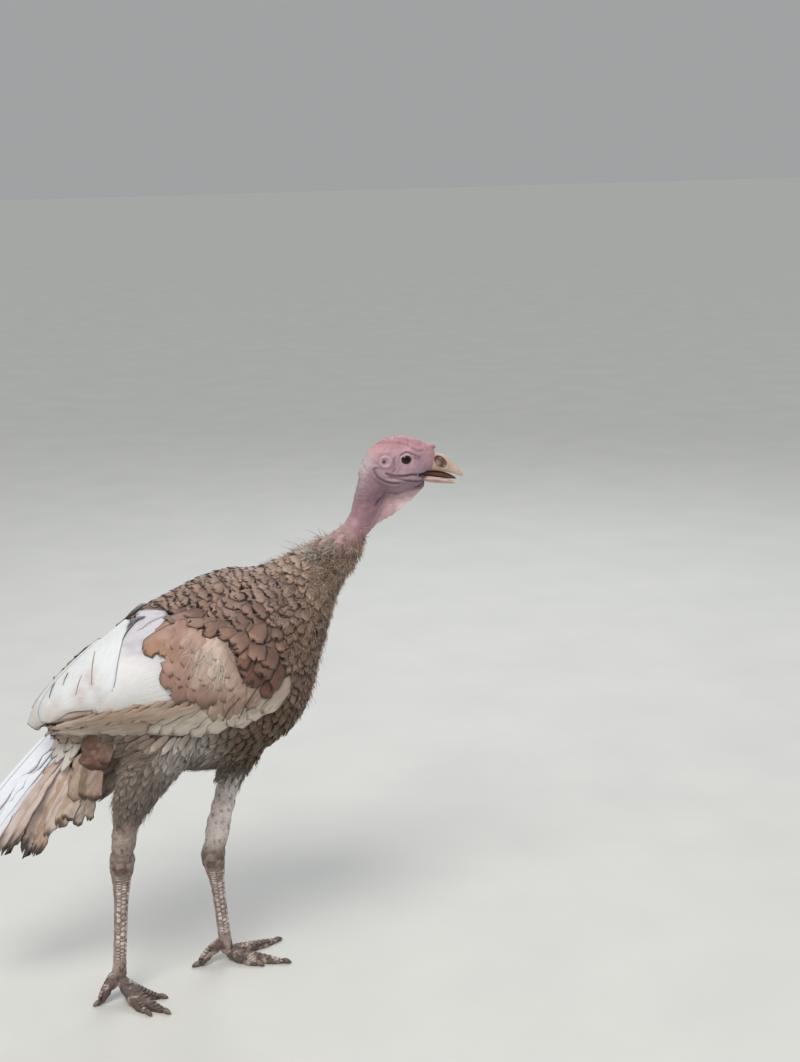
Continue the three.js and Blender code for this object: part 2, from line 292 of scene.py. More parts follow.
WING = [
    (156, 64, 392, 12, 12, 6, 1, 2), (118, 78, 398, 44, 50, 10, 12, 14),
    (60, 86, 402, 64, 71, 11, 26, 20), (-2, 82, 402, 62, 73, 11, 44, 20),
    (-58, 68, 384, 46, 47, 10, 48, 14), (-104, 48, 359, 27, 30, 9, 30, 6),
    (-143, 32, 342, 16, 12, 6, 12, 0),
]
SADDLE = [  # the feathers of the rump between the upper rims of the wings
    (10, -3, 436, 24, 40, 33), (-25, -4, 424, 22, 44, 29), (-60, -5, 408, 21, 44, 19),
    (-92, -5, 381, 21, 40, 13), (-118, -4, 355, 18, 30, 8), (-136, -3, 334, 10, 16, 5),
]
TUCK = np.array([0, 2, 6, 16, 23, 14, 7])  # how much lower the left wing's upper rim lies
LAID = np.array([0, 2, 6, 20, 33, 30, 14])  # how much lower its feathers are laid near that rim
TAIL = [
    (-84, 0, 350, 14, 17, 26), (-122, 0, 317, 13, 17, 38), (-160, 0, 279, 12, 16, 44),
    (-200, 0, 236, 10, 12, 41), (-243, 0, 190, 6, 7, 29),
]
ROOF_SLOPE = 2.1
ROOF_RIDGE = 12
LEGS = {
    "right": {
        "knee": (20, -50, 330), "calf": (-26, -43, 262), "calf_size": (26, 21),
        "ankle": (-43, -36, 212), "hock": (-49, -31, 172), "root": (-61, -29, 27), "drop": 2.2,
        "tips": {
            "hallux": (-84, -40, 8, 0.8), "inner": (-16, -42), "middle": (-12, -76), "outer": (-32, -74),
        },
    },
    "left": {
        "knee": (110, 48, 300), "calf": (84, 32, 238), "calf_size": (19, 17),
        "ankle": (68, 18, 192), "hock": (58, 11, 151), "root": (69, 38, 13), "drop": 2.6,
        "tips": {"hallux": (35, 27, 15, 0.8), "inner": (104, 13), "middle": (136, 11), "outer": (132, 67)},
    },
}
TOE_RADIUS = 5.4
SOLE_CUT = 1.2
CLAW_LENGTH = 12
CLAW_RADIUS = 2.7


def wing_rows(side):
    rows = np.array(WING, float)
    rows[:, 1] *= SIDES[side]
    if side == "left":
        rows[:, 3] -= TUCK
        rows[:, 6] -= 0.5 * TUCK
    return rows


def tucked(points, side):
    """Lowers places x, z on the left wing as its upper rim is lowered."""
    if side == "left":
        rows = np.array(WING)[::-1]
        middle, up = (np.interp(points[:, 0], rows[:, 0], rows[:, i]) for i in (2, 3))
        lower = np.interp(points[:, 0], rows[:, 0], LAID[::-1])
        points[:, 1] -= lower * np.clip((points[:, 1] - middle) / up, 0, 1)
    return points


def station(point, up, side):
    return (*point, up, up, side)


def thigh_rows(leg, coat=0.0):
    """The feathered part of a leg, less the coat's depth, which thins out towards the hock."""
    rows = [
        station(lerp(leg["knee"], leg["calf"], -0.25), 28, 22),
        station(leg["knee"], 38, 27),
        station(leg["calf"], *leg["calf_size"]),
        station(leg["ankle"], 14.5, 13),
        station(lerp(leg["ankle"], leg["hock"], 0.25), 12.5, 11),
    ]
    return slimmer(rows, np.array([1, 1, 0.8, 0.1, 0.05]) * coat)


def lower_leg_rows(leg):
    return [
        station(lerp(leg["ankle"], leg["hock"], -0.1), 10.5, 9),
        station(lerp(leg["ankle"], leg["hock"], 0.5), 12.5, 10.4),
        station(leg["hock"], 14, 11),
        station(lerp(leg["hock"], leg["root"], 0.15), 10.6, 8.4),
        station(lerp(leg["hock"], leg["root"], 0.34), 7.8, 5.8),
        station(lerp(leg["hock"], leg["root"], 0.66), 7.8, 5.8),
        station(lerp(leg["hock"], leg["root"], 0.86), 8.8, 7.2),
        station(lerp(leg["hock"], leg["root"], 1.03), 10.4, 10),
    ]


def toe_rows(leg, tip):
    """Stations of a toe, from the root of the foot down to the floor and along it."""
    tip_x, tip_y, lift, drop = (*tip, 0, leg["drop"])[:4]
    rows = []
    for share in np.linspace(0, 1, 6):
        size = TOE_RADIUS * (1 - 0.26 * share)
        low = size * (1 - 0.5 * share ** 4) - SOLE_CUT
        x, y, _ = lerp((tip_x, tip_y, 0), leg["root"], 1 - share)
        z = low + (leg["root"][2] + lift - low) * (1 - share) ** drop
        rows.append(station((x, y, z), size, size))
    return rows


def claw_rows(leg, tip):
    rows = np.array(toe_rows(leg, tip))
    end = rows[-1, :3]
    ahead = unit((end - rows[-2, :3]) * (1, 1, 0))
    r = CLAW_RADIUS
    steps = [(-0.4, 1.2, 1.15, 1.15), (0.15, 1.5, 1.2, 1.15), (0.55, 1.1, 1, 0.95), (0.88, 0.6, 0.7, 0.65)]
    stations = []
    for share, z, up, side in steps:
        x, y, _ = end + ahead * share * CLAW_LENGTH
        stations.append(station((x, y, z * r), up * r, side * r))
    return stations


# ---- camera, lights and floor ----
def place(point):
    return Vector(np.asarray(point, float) * MM + SHIFT)


SKY_LOW, SKY_HIGH = 0.40, 0.80
CAMERA_AT = (-22, -1785, 950)
CAMERA_AIM = (0.1693, 0.9600, -0.2233)
CAMERA_ROLL = math.radians(1.5)
FOCAL_LENGTH, SENSOR_WIDTH = 54.37, 36  # in millimetres
FLOOR_REACH = 60  # how far the floor goes each way, in metres


def set_camera():
    ahead = unit(CAMERA_AIM)
    level = unit(np.cross(ahead, (0, 0, 1)))
    upright = np.cross(level, ahead)
    right = math.cos(CAMERA_ROLL) * level - math.sin(CAMERA_ROLL) * upright
    up = math.sin(CAMERA_ROLL) * level + math.cos(CAMERA_ROLL) * upright
    lens = bpy.data.cameras.new("camera")
    lens.lens = FOCAL_LENGTH
    lens.sensor_width = SENSOR_WIDTH
    lens.clip_start = 0.05
    camera = new_object("camera", lens)
    turned = Matrix(np.stack([right, up, -ahead], axis=1).tolist()).to_4x4()
    camera.matrix_world = Matrix.Translation(place(CAMERA_AT)) @ turned
    bpy.context.scene.camera = camera


def add_light(name, at, aim, size, power, tint):
    light = bpy.data.lights.new(name, "AREA")
    light.shape = "DISK"
    light.size = size
    light.energy = power
    light.color = colour(tint)[:3]
    lamp = new_object(name, light)
    lamp.location = at
    lamp.rotation_euler = (Vector(aim) - Vector(at)).to_track_quat("-Z", "Y").to_euler()


def connect(tree, node, inputs):
    """Gives a node's inputs, by name or number.

    Sockets are linked, a node stands for its first output in use, and plain values are set directly.
    """
    for name, value in inputs.items():
        if isinstance(value, bpy.types.Node):
            value = next(socket for socket in value.outputs if socket.enabled)
        if isinstance(value, bpy.types.NodeSocket):
            tree.links.new(value, node.inputs[name])
        else:
            node.inputs[name].default_value = value


def add(tree, kind, settings=None, inputs=None):
    """Adds a shader node with its settings and its inputs."""
    made = tree.nodes.new("ShaderNode" + kind)
    for name, value in (settings or {}).items():
        setattr(made, name, value)
    connect(tree, made, inputs or {})
    return made


def new_material(name):
    """A material with its node tree, its shader and the place on the piece."""
    made = bpy.data.materials.new(name)
    made.use_nodes = True
    tree = made.node_tree
    return made, tree, tree.nodes["Principled BSDF"], add(tree, "TexCoord").outputs["Object"]


def painted_material(name):
    """A new material, and the tint that is painted on its pieces."""
    made, tree, shader, at = new_material(name)
    return made, tree, shader, at, add(tree, "Attribute", {"attribute_name": "tint"})


# Settings that several shader nodes share.
MIX = {"data_type": "RGBA"}
MULTIPLY = {"data_type": "RGBA", "blend_type": "MULTIPLY"}
SMOOTH = {"interpolation_type": "SMOOTHSTEP"}
TIMES_PLUS = {"operation": "MULTIPLY_ADD"}


def set_world():
    """A soft studio sky, brighter overhead than near the floor's far edge."""
    world = bpy.data.worlds.new("studio")
    world.use_nodes = True
    tree = world.node_tree
    height = add(tree, "SeparateXYZ", None, {0: add(tree, "TexCoord").outputs["Generated"]})
    rise = add(tree, "MapRange", SMOOTH, {
        "Value": height.outputs["Z"], "From Min": 0.05, "From Max": 0.9,
        "To Min": SKY_LOW, "To Max": SKY_HIGH,
    })
    connect(tree, tree.nodes["Background"], {"Color": colour("#f2f4f5"), "Strength": rise})
    bpy.context.scene.world = world
    bpy.context.scene.view_settings.view_transform = "Standard"


def floor_material():
    """Sealed pale concrete: a fine, barely mottled matt surface."""
    made, tree, shader, at = new_material("pale_sealed_concrete")
    mottle = add(tree, "TexNoise", None, {"Vector": at, "Scale": 6.0, "Detail": 5.0})
    mix = add(tree, "Mix", MIX, {"Factor": mottle, "A": colour("#c3c4c1"), "B": colour("#d0d0cc")})
    connect(tree, shader, {"Base Color": mix, "Roughness": 0.85})
    return made


def set_floor():
    bm = bmesh.new()
    bmesh.ops.create_grid(bm, x_segments=1, y_segments=1, size=FLOOR_REACH)
    mesh = bpy.data.meshes.new("floor")
    bm.to_mesh(mesh)
    bm.free()
    mesh.materials.append(floor_material())
    floor = new_object("floor", mesh)


set_camera()
set_world()
add_light("key", (-0.7, -1.5, 2.6), (0, 0, 0.35), 1.3, 54, "#fffaf2")
add_light("back", (0.9, 1.9, 2.2), (0, 0, 0.35), 1.6, 24, "#f6f8ff")
set_floor()


# ---- skin: one closed mesh from the bill to the toes ----
def dewlap_body():
    """The fold of skin from the chin down the throat, a flat closed plate with a round rim."""
    front = [(324, 593), (323, 584), (314, 575), (301, 565), (286, 554.5), (272, 547), (263, 540), (255, 532)]
    back = [(247, 546), (258, 566), (284, 588)]
    edge = [*along(front, np.linspace(0, 1, 22)), *back]
    bm = bmesh.new()
    loop = [bm.verts.new((x, -1.6, z)) for x, z in edge]
    bmesh.ops.solidify(bm, geom=[bm.faces.new(loop)], thickness=3.2)
    bmesh.ops.triangulate(bm, faces=bm.faces)
    bmesh.ops.subdivide_edges(bm, edges=bm.edges, cuts=2)
    bmesh.ops.recalc_face_normals(bm, faces=bm.faces)
    points, faces = taken(bm)
    points[:, 1] -= points[:, 1].mean()
    return points, faces


def skin_bodies():
    parts = [
        body(slimmer(TRUNK, TRUNK_COAT), 40, 60, tip=0.3),
        body(slimmer(UNDERTAIL, 8), 24, 20, tip=0.4),
        body(HEAD, 48, 48, tip=0.42),
        body(SNOOD, 16, 14),
        dewlap_body(),
    ]
    for leg in LEGS.values():
        parts.append(body(thigh_rows(leg, 6), 28, 28, tip=0.35))
        parts.append(body(lower_leg_rows(leg), 24, 50, tip=0.3))
        parts.append(body([
            station(lerp(leg["calf"], leg["ankle"], 0.5), 15, 13.5), station(leg["ankle"], 14, 12.6),
            station(lerp(leg["ankle"], leg["hock"], 0.5), 13.4, 11.2), station(leg["hock"], 12.6, 10),
        ], 24, 24, tip=0.25))
        parts += [body(toe_rows(leg, tip), 16, 24, tip=0.3) for tip in leg["tips"].values()]
    return parts


def bare_leg(points):
    """1 on the bare lower legs and the toes, 0 on the feathered body."""
    x, y, z = points.T
    top = np.where(y < 0, 238, 252)
    return ramp(top + 9, top - 9, z) * ramp(-88, -78, x)


def coords(bm):
    return (np.array([v.co for v in bm.verts]) - SHIFT) / MM


def move(bm, points):
    for vert, point in zip(bm.verts, points * MM + SHIFT):
        vert.co = point


def finer(bm, wanted):
    """Cuts each face whose corners are all wanted in four."""
    bm.verts.index_update()
    faces = [f for f in bm.faces if all(wanted[v.index] for v in f.verts)]
    edges = list(dict.fromkeys(e for f in faces for e in f.edges))
    bmesh.ops.subdivide_edges(bm, edges=edges, cuts=1, use_grid_fill=True)


def even(bm, chosen, times):
    bm.verts.ensure_lookup_table()
    smooth(bm, [bm.verts[i] for i in np.flatnonzero(chosen)], times)


def snapped(points, tree, chosen):
    points = points.copy()
    for i in np.flatnonzero(chosen):
        near, _, _, gap = tree.find_nearest(Vector(points[i]))
        if gap < 3:
            points[i] = near
    return points


EAR_AT = (275.5, 620)
EYE_OPENING = (5.8, 4.9)
JAW_FOLD = [(314, 602.5), (305, 603.5), (295, 602.5), (284, 603.5), (273, 607)]
LOBE_EDGE = [(270, 612), (263, 612), (264, 606), (268, 600.5), (275, 596.5), (284, 594.5), (295, 595)]
CHEEK_FOLD = [(275, 603), (289, 599.5), (301, 596.8), (311, 595), (322, 594)]
THROAT_FOLD = [(262, 566), (268, 575), (279, 580), (295, 580.5), (311, 586), (324, 592)]
BROW_FOLD = [(291, 625.5), (300, 629.8), (309, 626), (318, 622)]
CROWN_FOLD = [(258, 634), (269, 639.5), (285, 640.5), (300, 637.5), (312, 630.5), (325, 629)]
EAR_CREASE = [(287, 627), (285.5, 620), (286, 612), (283, 607)]
NAPE_FOLD = [(258, 603), (262, 590), (268, 580)]
GAPE_LINE = [(314, 602.6), (323, 601.8), (333, 601), (344, 598)]


def sculpt_head(points, normals):
    """Moves the head's points to add lids, ear, folds and wrinkles. Millimetres."""
    x, _, z = points.T
    flank = ramp(0.15, 0.55, np.abs(normals[:, 1]))
    rise = np.zeros(len(points))
    for line, depth, width, lip in (
        (JAW_FOLD, 1.5, 1.3, 0.7), (LOBE_EDGE, 1.0, 1.2, 0.9), (CHEEK_FOLD, 1.3, 1.2, 0.7),
        (THROAT_FOLD, 1.5, 1.5, 0.6), (BROW_FOLD, 0.55, 0.8, 0.35), (CROWN_FOLD, 0.7, 1.1, 0.5),
        (EAR_CREASE, 0.7, 1.2, 0.4), (NAPE_FOLD, 0.7, 1.8, 0.4), (GAPE_LINE, 1.6, 1.0, 0.8),
    ):
        gap, share = trace(line, x, z)
        fade = ramp(0, 0.12, share) * ramp(1, 0.88, share)
        rise += flank * fade * (lip * hump(gap - 2.2 * width, 1.3 * width) - depth * hump(gap, width))
    ear = np.hypot(x - EAR_AT[0], (z - EAR_AT[1]) * 1.05)
    hole = np.hypot(x - EAR_AT[0] + 1.5, z - EAR_AT[1] + 0.6)
    rise += flank * (1.1 * hump(ear - 5.6, 1.5) - 0.6 * hump(ear, 3.6) - 2.6 * hump(hole, 1.7))
    crown = ramp(628, 638, z) * ramp(340, 325, x) * ramp(248, 262, x)
    waves = grain(points * (1, 0.35, 0.6), 3.2, 1) + 0.6 * grain(points * (1, 0.5, 0.5), 1.7, 2)
    rise += 0.55 * crown * waves
    rise += 0.28 * grain(points, 4.5, 3) + 0.14 * grain(points, 1.9, 4)
    neck = ramp(262, 250, x) + ramp(585, 570, z)
    rings = grain(points * (0.5, 0.5, 1.6), 4.2, 5)
    rise += 0.4 * np.clip(neck, 0, 1) * rings
    nape = ramp(0.35, -0.1, normals[:, 2] + 1.6 * normals[:, 0] + 0.9) * ramp(505, 540, z)
    rise += 0.35 * nape * np.maximum(grain(points, 1.5, 6), 0)
    moved = points + normals * rise[:, None]
    return muzzled(lidded(moved))


# The border of the skin against the horn of the bill, as z and x.
HORN_BORDER = [
    (585, 326), (593, 322), (598, 317), (601, 314), (605, 320), (609, 333), (618, 331.4), (626, 334.8),
    (629, 346),
]
GAPE_LOW = [(312, 600.6), (323, 598.8), (339, 596.2), (354, 592.4)]
GAPE_HIGH = [(312, 603.4), (322, 605), (334, 604.2), (345, 602)]


def muzzled(points):
    """Draws the skin in under the horn of the bill, and opens the gape between its halves."""
    points = points.copy()
    x, y, z = points.T
    ahead = ramp(0, 2.2, x - np.interp(z, *np.array(HORN_BORDER).T)) * (np.abs(z - 605) < 24)
    low, high = (np.interp(x, *np.array(line).T) for line in (GAPE_LOW, GAPE_HIGH))
    gape = ramp(low - 0.5, low + 0.4, z) * ramp(high + 0.5, high - 0.4, z) * ramp(311, 316, x)
    points[:, 1] = y * (1 - 0.5 * ahead)
    points[:, 1] = np.sign(y) * np.minimum(np.abs(points[:, 1]), lerp(30, 2, gape))
    points[:, 2] = lerp(z, 606 + (z - 606) * 0.78, ahead)
    return points


def lidded(points):
    """Opens the skin over each eyeball, with a thin rolled lid round the opening."""
    points = points.copy()
    x, y, z = points.T
    across, high = x - EYE_AT[0], z - EYE_AT[2]
    off = np.hypot(across, high)
    opening = np.hypot(across / EYE_OPENING[0], high / EYE_OPENING[1])
    ball = EYE_AT[1] + np.sqrt(np.maximum(EYE_RADIUS ** 2 - off ** 2, 0))
    depth = np.abs(y)
    lid = np.maximum(ball + 0.5, depth - 0.3)
    lid = lid + 0.4 * hump(opening - 1.08, 0.07) - 0.3 * hump(opening - 1.27, 0.07)
    outer = lerp(lid, depth, ramp(7.8, 10.5, off))
    outer = lerp(ball - 1.6, outer, ramp(0.92, 1.0, opening))
    near = (off < 11) & (depth > 8)
    points[near, 1] = (np.sign(y) * outer)[near]
    return points


def sculpt_legs(points, normals):
    """Knobs and tendons at the hocks, the thick roots of the feet and the pads under the toes."""
    z = points[:, 2]
    rise = 0.4 + 0.55 * grain(points, 4.5, 7) + 0.3 * grain(points, 2.4, 8)
    rise += 0.9 * ramp(154, 166, z) * np.maximum(grain(points * (1, 1, 0.6), 4, 10), -0.3)
    for leg in LEGS.values():
        hock = np.linalg.norm(points - leg["hock"], axis=1)
        knobs = 2.0 + 1.3 * grain(points, 8, 9)
        rise += hump(hock, 17) * knobs
        root = np.linalg.norm((points - leg["root"]) * (1, 1, 0.75), axis=1)
        rise += 2.6 * hump(root, 14)
        for tip in leg["tips"].values():
            line = along(np.array(toe_rows(leg, tip))[:, :3], np.linspace(0.1, 1, 24))
            gap = np.linalg.norm(points[:, None] - line, axis=-1)
            share = gap.argmin(1) / 23
            pads = 1.7 + 0.7 * np.sin(share * 19) * ramp(0.5, -0.3, normals[:, 2])
            rise += hump(gap.min(1), 8.5) * pads * ramp(0.05, 0.25, share)
    return points + normals * (rise * bare_leg(points))[:, None]


SKIN_VOXEL, COAT_VOXEL = 3.2, 6.0
BARE_ABOVE = 528  # the height from which the neck is bare
FACE_FROM = (242, 556)  # x and z from which the skin is finest
HEAD_ABOVE, LEGS_BELOW = 500, 260  # the heights that the head and the legs are sculpted from


def on_face(at):
    return (at[:, 2] > FACE_FROM[1]) & (at[:, 0] > FACE_FROM[0])


def build_skin():
    parts = skin_bodies()
    points, faces = fused("skin", parts, SKIN_VOXEL)
    target = tree_of(*joined(parts))
    bm = new_bmesh(points * MM + SHIFT, faces)
    bmesh.ops.recalc_face_normals(bm, faces=bm.faces)
    at = coords(bm)
    finer(bm, (bare_leg(at) > 0.4) | (at[:, 2] > BARE_ABOVE))
    at = coords(bm)
    leg = bare_leg(at) > 0.4
    bare = leg | (at[:, 2] > BARE_ABOVE)
    move(bm, snapped(at, target, bare))
    even(bm, bare, 3)
    move(bm, snapped(coords(bm), target, leg))
    even(bm, leg, 1)
    finer(bm, on_face(coords(bm)))
    at = coords(bm)
    face = on_face(at)
    move(bm, snapped(at, target, face))
    even(bm, face, 3)
    at = coords(bm)
    off = np.hypot(at[:, 0] - EYE_AT[0], at[:, 2] - EYE_AT[2])
    ear = np.hypot(at[:, 0] - EAR_AT[0], at[:, 2] - EAR_AT[1])
    finer(bm, (np.abs(at[:, 1]) > 8) & ((off < 10) | (ear < 8)))
    bm.normal_update()
    at = coords(bm)
    normals = np.array([v.normal for v in bm.verts])
    head = at[:, 2] > HEAD_ABOVE
    at[head] = sculpt_head(at[head], normals[head])
    low = at[:, 2] < LEGS_BELOW
    at[low] = sculpt_legs(at[low], normals[low])
    at[:, 2] = np.maximum(at[:, 2], 0)
    move(bm, at)
    bm.normal_update()
    mesh = bpy.data.meshes.new("skin")
    bm.to_mesh(mesh)
    bm.free()
    return mesh


# ---- colours of the bare skin ----
def paint(mesh, name, values, domain="POINT"):
    values = np.asarray(values, float)
    layer = mesh.attributes.new(name, "FLOAT_COLOR", domain)
    layer.data.foreach_set("color", np.ascontiguousarray(values).ravel())


def paint_head(points):
    x, y, z = points.T
    mottle = grain(points, 7, 11)
    fine = grain(points, 2.6, 12)
    tint = painted(even_tint(points.shape[:1], "#b98f9c"), (
        ("#8d6673", ramp(598, 575, z + 0.35 * (262 - x)) * 0.9),
        ("#a4848f", ramp(612, 600, z) * ramp(262, 272, x) * 0.6),
        ("#c9919c", ramp(624, 636, z + 4 * mottle) * 0.95),
        ("#b7707c", ramp(636, 645, z + 3 * fine) * 0.35),
        ("#c78f95", ramp(316, 330, x) * ramp(612, 622, z) * 0.7),
        # painted highlight: a pale patch on the crown above the eye
        ("#dfb3b8", hump(np.hypot(x - 300, (z - 633) * 1.6), 9) * 0.45),
        ("#cfa6ae", hump(np.hypot(x - 301, z - 611), 10) * 0.35),
    ))
    # Each fold line is darkened along its crease: painted shade in the sculpted creases, and along the gape
    # the painted shade of the open mouth.
    for line, tone, width, share in (
        (JAW_FOLD, "#66454f", 1.5, 0.85), (CHEEK_FOLD, "#6a4656", 1.5, 0.85),
        (LOBE_EDGE, "#6d4c58", 1.3, 0.6), (THROAT_FOLD, "#5d3f48", 1.8, 0.8),
        (BROW_FOLD, "#6b3a44", 0.8, 0.7), (CROWN_FOLD, "#a8707a", 1.4, 0.4),
        (EAR_CREASE, "#916873", 1.2, 0.5), (GAPE_LINE, "#4a2128", 1.7, 0.95),
    ):
        gap, reached = trace(line, x, z)
        fade = ramp(0, 0.1, reached) * ramp(1, 0.92, reached)
        tint = blend(tint, colour(tone), hump(gap, width) * fade * share)
    gap, _ = trace([(270, 610), (275, 601), (288, 598.5), (303, 599), (315, 597)], x, z)
    ear = np.hypot(x - EAR_AT[0], z - EAR_AT[1])
    hole = np.hypot(x - EAR_AT[0] + 1.5, z - EAR_AT[1] + 0.6)
    opening = np.hypot((x - EYE_AT[0]) / EYE_OPENING[0], (z - EYE_AT[2]) / EYE_OPENING[1])
    side = np.abs(y) > 12
    tint = painted(tint, (
        # painted highlight along the ridge of the jowl lobe, between the jaw and cheek folds
        ("#c3a3ad", hump(gap, 2.2) * 0.6),
        ("#dab2ba", hump(ear - 5.6, 1.5) * 0.6),
        ("#7d5661", hump(ear - 8.6, 1.2) * 0.3),
        # painted shade in the ear opening
        ("#5a343d", hump(hole, 1.9) * 0.85),
        ("#d3aeb2", side * hump(opening - 1.2, 0.12) * 0.45),
        ("#3a2021", side * ramp(1.03, 0.97, opening) * 0.95),
    ))
    for spot_x, spot_z in ((310, 623), (314, 622)):
        spot = hump(np.hypot(x - spot_x, z - spot_z), 1.4)
        tint = blend(tint, colour("#8a3440"), side * spot * 0.8)
    wattle = ramp(9, 4, np.abs(y)) * ramp(0, 4, -trace(THROAT_FOLD, x, z)[0] + 60) * ramp(588, 578, z)
    wattle *= ramp(250, 262, x - (z - 545) * 0.3)
    nape = ramp(8, 0, x - along(TRUNK, ramp_share(z))[:, 0] + 17) * ramp(500, 530, z) * ramp(640, 620, z)
    specks = ramp(0.1, 0.7, grain(points, 1.7, 13))
    low = ramp(572, 545, z)
    foot = ramp(552, 512, z + 0.5 * (x - 240)) * ramp(-0.35, 0.25, grain(points, 5, 15))
    behind = ramp(284, 270, x + 0.35 * (z - 600)) * ramp(612, 596, z)
    tint = painted(tint, (
        ("#dcb3bb", wattle * 0.9),
        ("#d9cdc6", nape * (0.35 + 0.5 * specks)),
        ("#c09299", low * (0.35 + 0.4 * ramp(-0.2, 0.8, mottle))),
        ("#7d6352", foot * 0.75),
        ("#6e4c52", low * ramp(0.3, 0.9, fine) * 0.4),
        ("#7a5862", behind * 0.5),
    ))
    tint[:, :3] *= (1 + 0.10 * mottle + 0.09 * fine + 0.05 * grain(points, 1.1, 14))[:, None]
    tint[:, :3] *= (0.86, 0.97, 0.96)
    # The lower throat is lightened by up to half again: painted light that lifts the underside of the head
    # out of its shade. The top of the crown is made a little darker.
    throat = ramp(585, 560, z)[:, None]
    tint[:, :3] *= lerp((1, 1, 1), (1.5, 1.5, 1.45), throat) * lerp(1, 0.86, ramp(630, 642, z))[:, None]
    return tint


def ramp_share(z):
    """The share of the neck's path that is at height z."""
    shares = np.linspace(0.5, 1, 40)
    return np.interp(z, along(np.array(TRUNK)[:, 2], shares), shares)


def paint_leg(points):
    x, _, z = points.T
    mottle = grain(points, 9, 21)
    fine = grain(points * (1, 1, 0.7), 3, 22)
    far = ramp(20, 40, x)
    hock = np.maximum(hump(z - 168, 20) * (x < 0), hump(z - 146, 22) * (x > 0))
    shin = ramp(150, 120, z) * ramp(30, 50, z)
    patches = grain(points, 7, 23) + 0.5 * grain(points, 3, 25) + 0.15 * ramp(0, -20, x)
    foot = ramp(56, 34, z)
    ankle = hump(z - 45, 13) * ramp(0.5, -0.1, fine)
    tint = painted(even_tint(points.shape[:1], "#9b887f"), (
        ("#cbbfb8", ramp(-0.1, 0.5, mottle) * 0.75),
        ("#efe2de", ramp(154, 172, z) * far * (0.8 + 0.35 * mottle)),
        ("#a58f84", ramp(186, 215, z) * (1 - far) * 0.7),
        ("#5f4a42", ramp(0.15, 0.65, fine) * 0.65),
        ("#574039", hock * ramp(-0.45, 0.2, mottle + 0.4 * fine) * 0.9),
        ("#6d5a50", shin * ramp(0.1, 0.6, grain(points * (1, 1, 0.25), 5, 24)) * 0.6),
        ("#bda99f", foot * ramp(0.1, -0.4, patches) * 0.85),
        ("#2a1c14", foot * ramp(-0.2, 0.2, patches + 0.3 * ramp(30, 8, z)) * 0.9),
        ("#c7b3aa", ankle * 0.75),
        ("#8d7c73", ramp(150, 130, z) * 0.3),
    ))
    tint[:, :3] *= (1 + 0.08 * fine)[:, None]
    return tint


def skin_material():
    """Living bare skin: soft, faintly waxy and finely wrinkled, with light spreading under it."""
    made, tree, shader, at, tint = painted_material("bare_turkey_skin")
    veins = add(tree, "TexNoise", None, {"Vector": at, "Scale": 420.0, "Detail": 3.0})
    shade = add(tree, "Mix", MULTIPLY, {"Factor": 0.35, "A": tint, "B": veins.outputs["Color"]})
    lift = add(tree, "Mix", MIX, {"Factor": 0.5, "A": tint, "B": shade})
    pores = add(tree, "TexVoronoi", None, {"Vector": at, "Scale": 900.0})
    wrinkles = add(tree, "TexNoise", None, {"Vector": at, "Scale": 560.0, "Detail": 4.0})
    both = add(tree, "Math", {"operation": "ADD"}, {0: pores, 1: wrinkles})
    bump = add(tree, "Bump", None, {"Height": both, "Strength": 0.35, "Distance": 0.0004})
    rough = add(tree, "MapRange", None, {"Value": wrinkles, "To Min": 0.42, "To Max": 0.62})
    connect(tree, shader, {
        "Base Color": lift, "Normal": bump,
        "Roughness": rough, "IOR": 1.42, "Subsurface Weight": 0.18,
        "Subsurface Radius": (1.0, 0.35, 0.25), "Subsurface Scale": 0.0025,
    })
    return made


def leg_material():
    """Dry scaled hide: small many-sided scales about 2.5 mm across, matt and dusty."""
    made, tree, shader, at, tint = painted_material("scaled_leg_hide")
    scales = add(tree, "TexVoronoi", {"feature": "DISTANCE_TO_EDGE"}, {"Vector": at, "Scale": 400.0})
    edge = add(tree, "MapRange", None, {
        "Value": scales, "From Max": 0.18, "To Min": 0.55, "To Max": 1.0,
    })
    shade = add(tree, "Mix", MULTIPLY, {"Factor": 0.75, "A": tint, "B": edge})
    bump = add(tree, "Bump", None, {"Height": edge, "Strength": 0.6, "Distance": 0.0006})
    connect(tree, shader, {"Base Color": shade, "Normal": bump, "Roughness": 0.62})
    return made


def under_coat_material():
    """Skin under the feathers, in the same markings, hidden but for chinks between them."""
    made, tree, shader, at, tint = painted_material("skin_under_feathers")
    fuzz = add(tree, "TexNoise", None, {"Vector": at, "Scale": 240.0, "Detail": 4.0})
    shade = add(tree, "Mix", MULTIPLY, {"Factor": 0.5, "A": tint, "B": fuzz.outputs["Color"]})
    connect(tree, shader, {"Base Color": shade, "Roughness": 0.9})
    return made


FLESH_NODES = ["head", "neck_upper", "neck_lower", "trunk", "undertail", "dewlap", "snood"]
for side in SIDES:
    FLESH_NODES += ["thigh_" + side, "shank_" + side]
    FLESH_NODES += [f"toe_{side}_{toe}" for toe in LEGS[side]["tips"]]


def add_skin():
    mesh = build_skin()
    at = (np.array([v.co for v in mesh.vertices]) - SHIFT) / MM
    tint = even_tint(at.shape[:1], "#6a5548")
    leg = bare_leg(at)
    head = ramp(505, 530, at[:, 2])
    tint = blend(tint, paint_leg(at), leg)
    tint = blend(tint, paint_head(at), head)
    paint(mesh, "tint", tint)
    piece = new_piece("skin", mesh, "bare_head", skin_material(), leg_material(), under_coat_material())
    kind = np.where(head > 0.3, 0, np.where(leg > 0.5, 1, 2))
    for polygon in mesh.polygons:
        polygon.material_index = int(kind[polygon.vertices[0]])
    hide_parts(*FLESH_NODES)


add_skin()


# ---- the surface that the feathers lie on ----
def coat_bodies():
    parts = [
        body(slimmer(TRUNK, (3, 3, 3, 3, 3, 3, 3, 3, 1, 0, 0, 0)), 40, 50, tip=0.3),
        body(slimmer(UNDERTAIL, 4), 24, 20, tip=0.4),
        body(SADDLE, 28, 28, tip=0.4),
    ]
    for side, leg in LEGS.items():
        parts.append(body(thigh_rows(leg, 2.5), 24, 24, tip=0.35))
        parts.append(body(slimmer(wing_rows(side), 2), 28, 30, tip=0.4))
    return parts


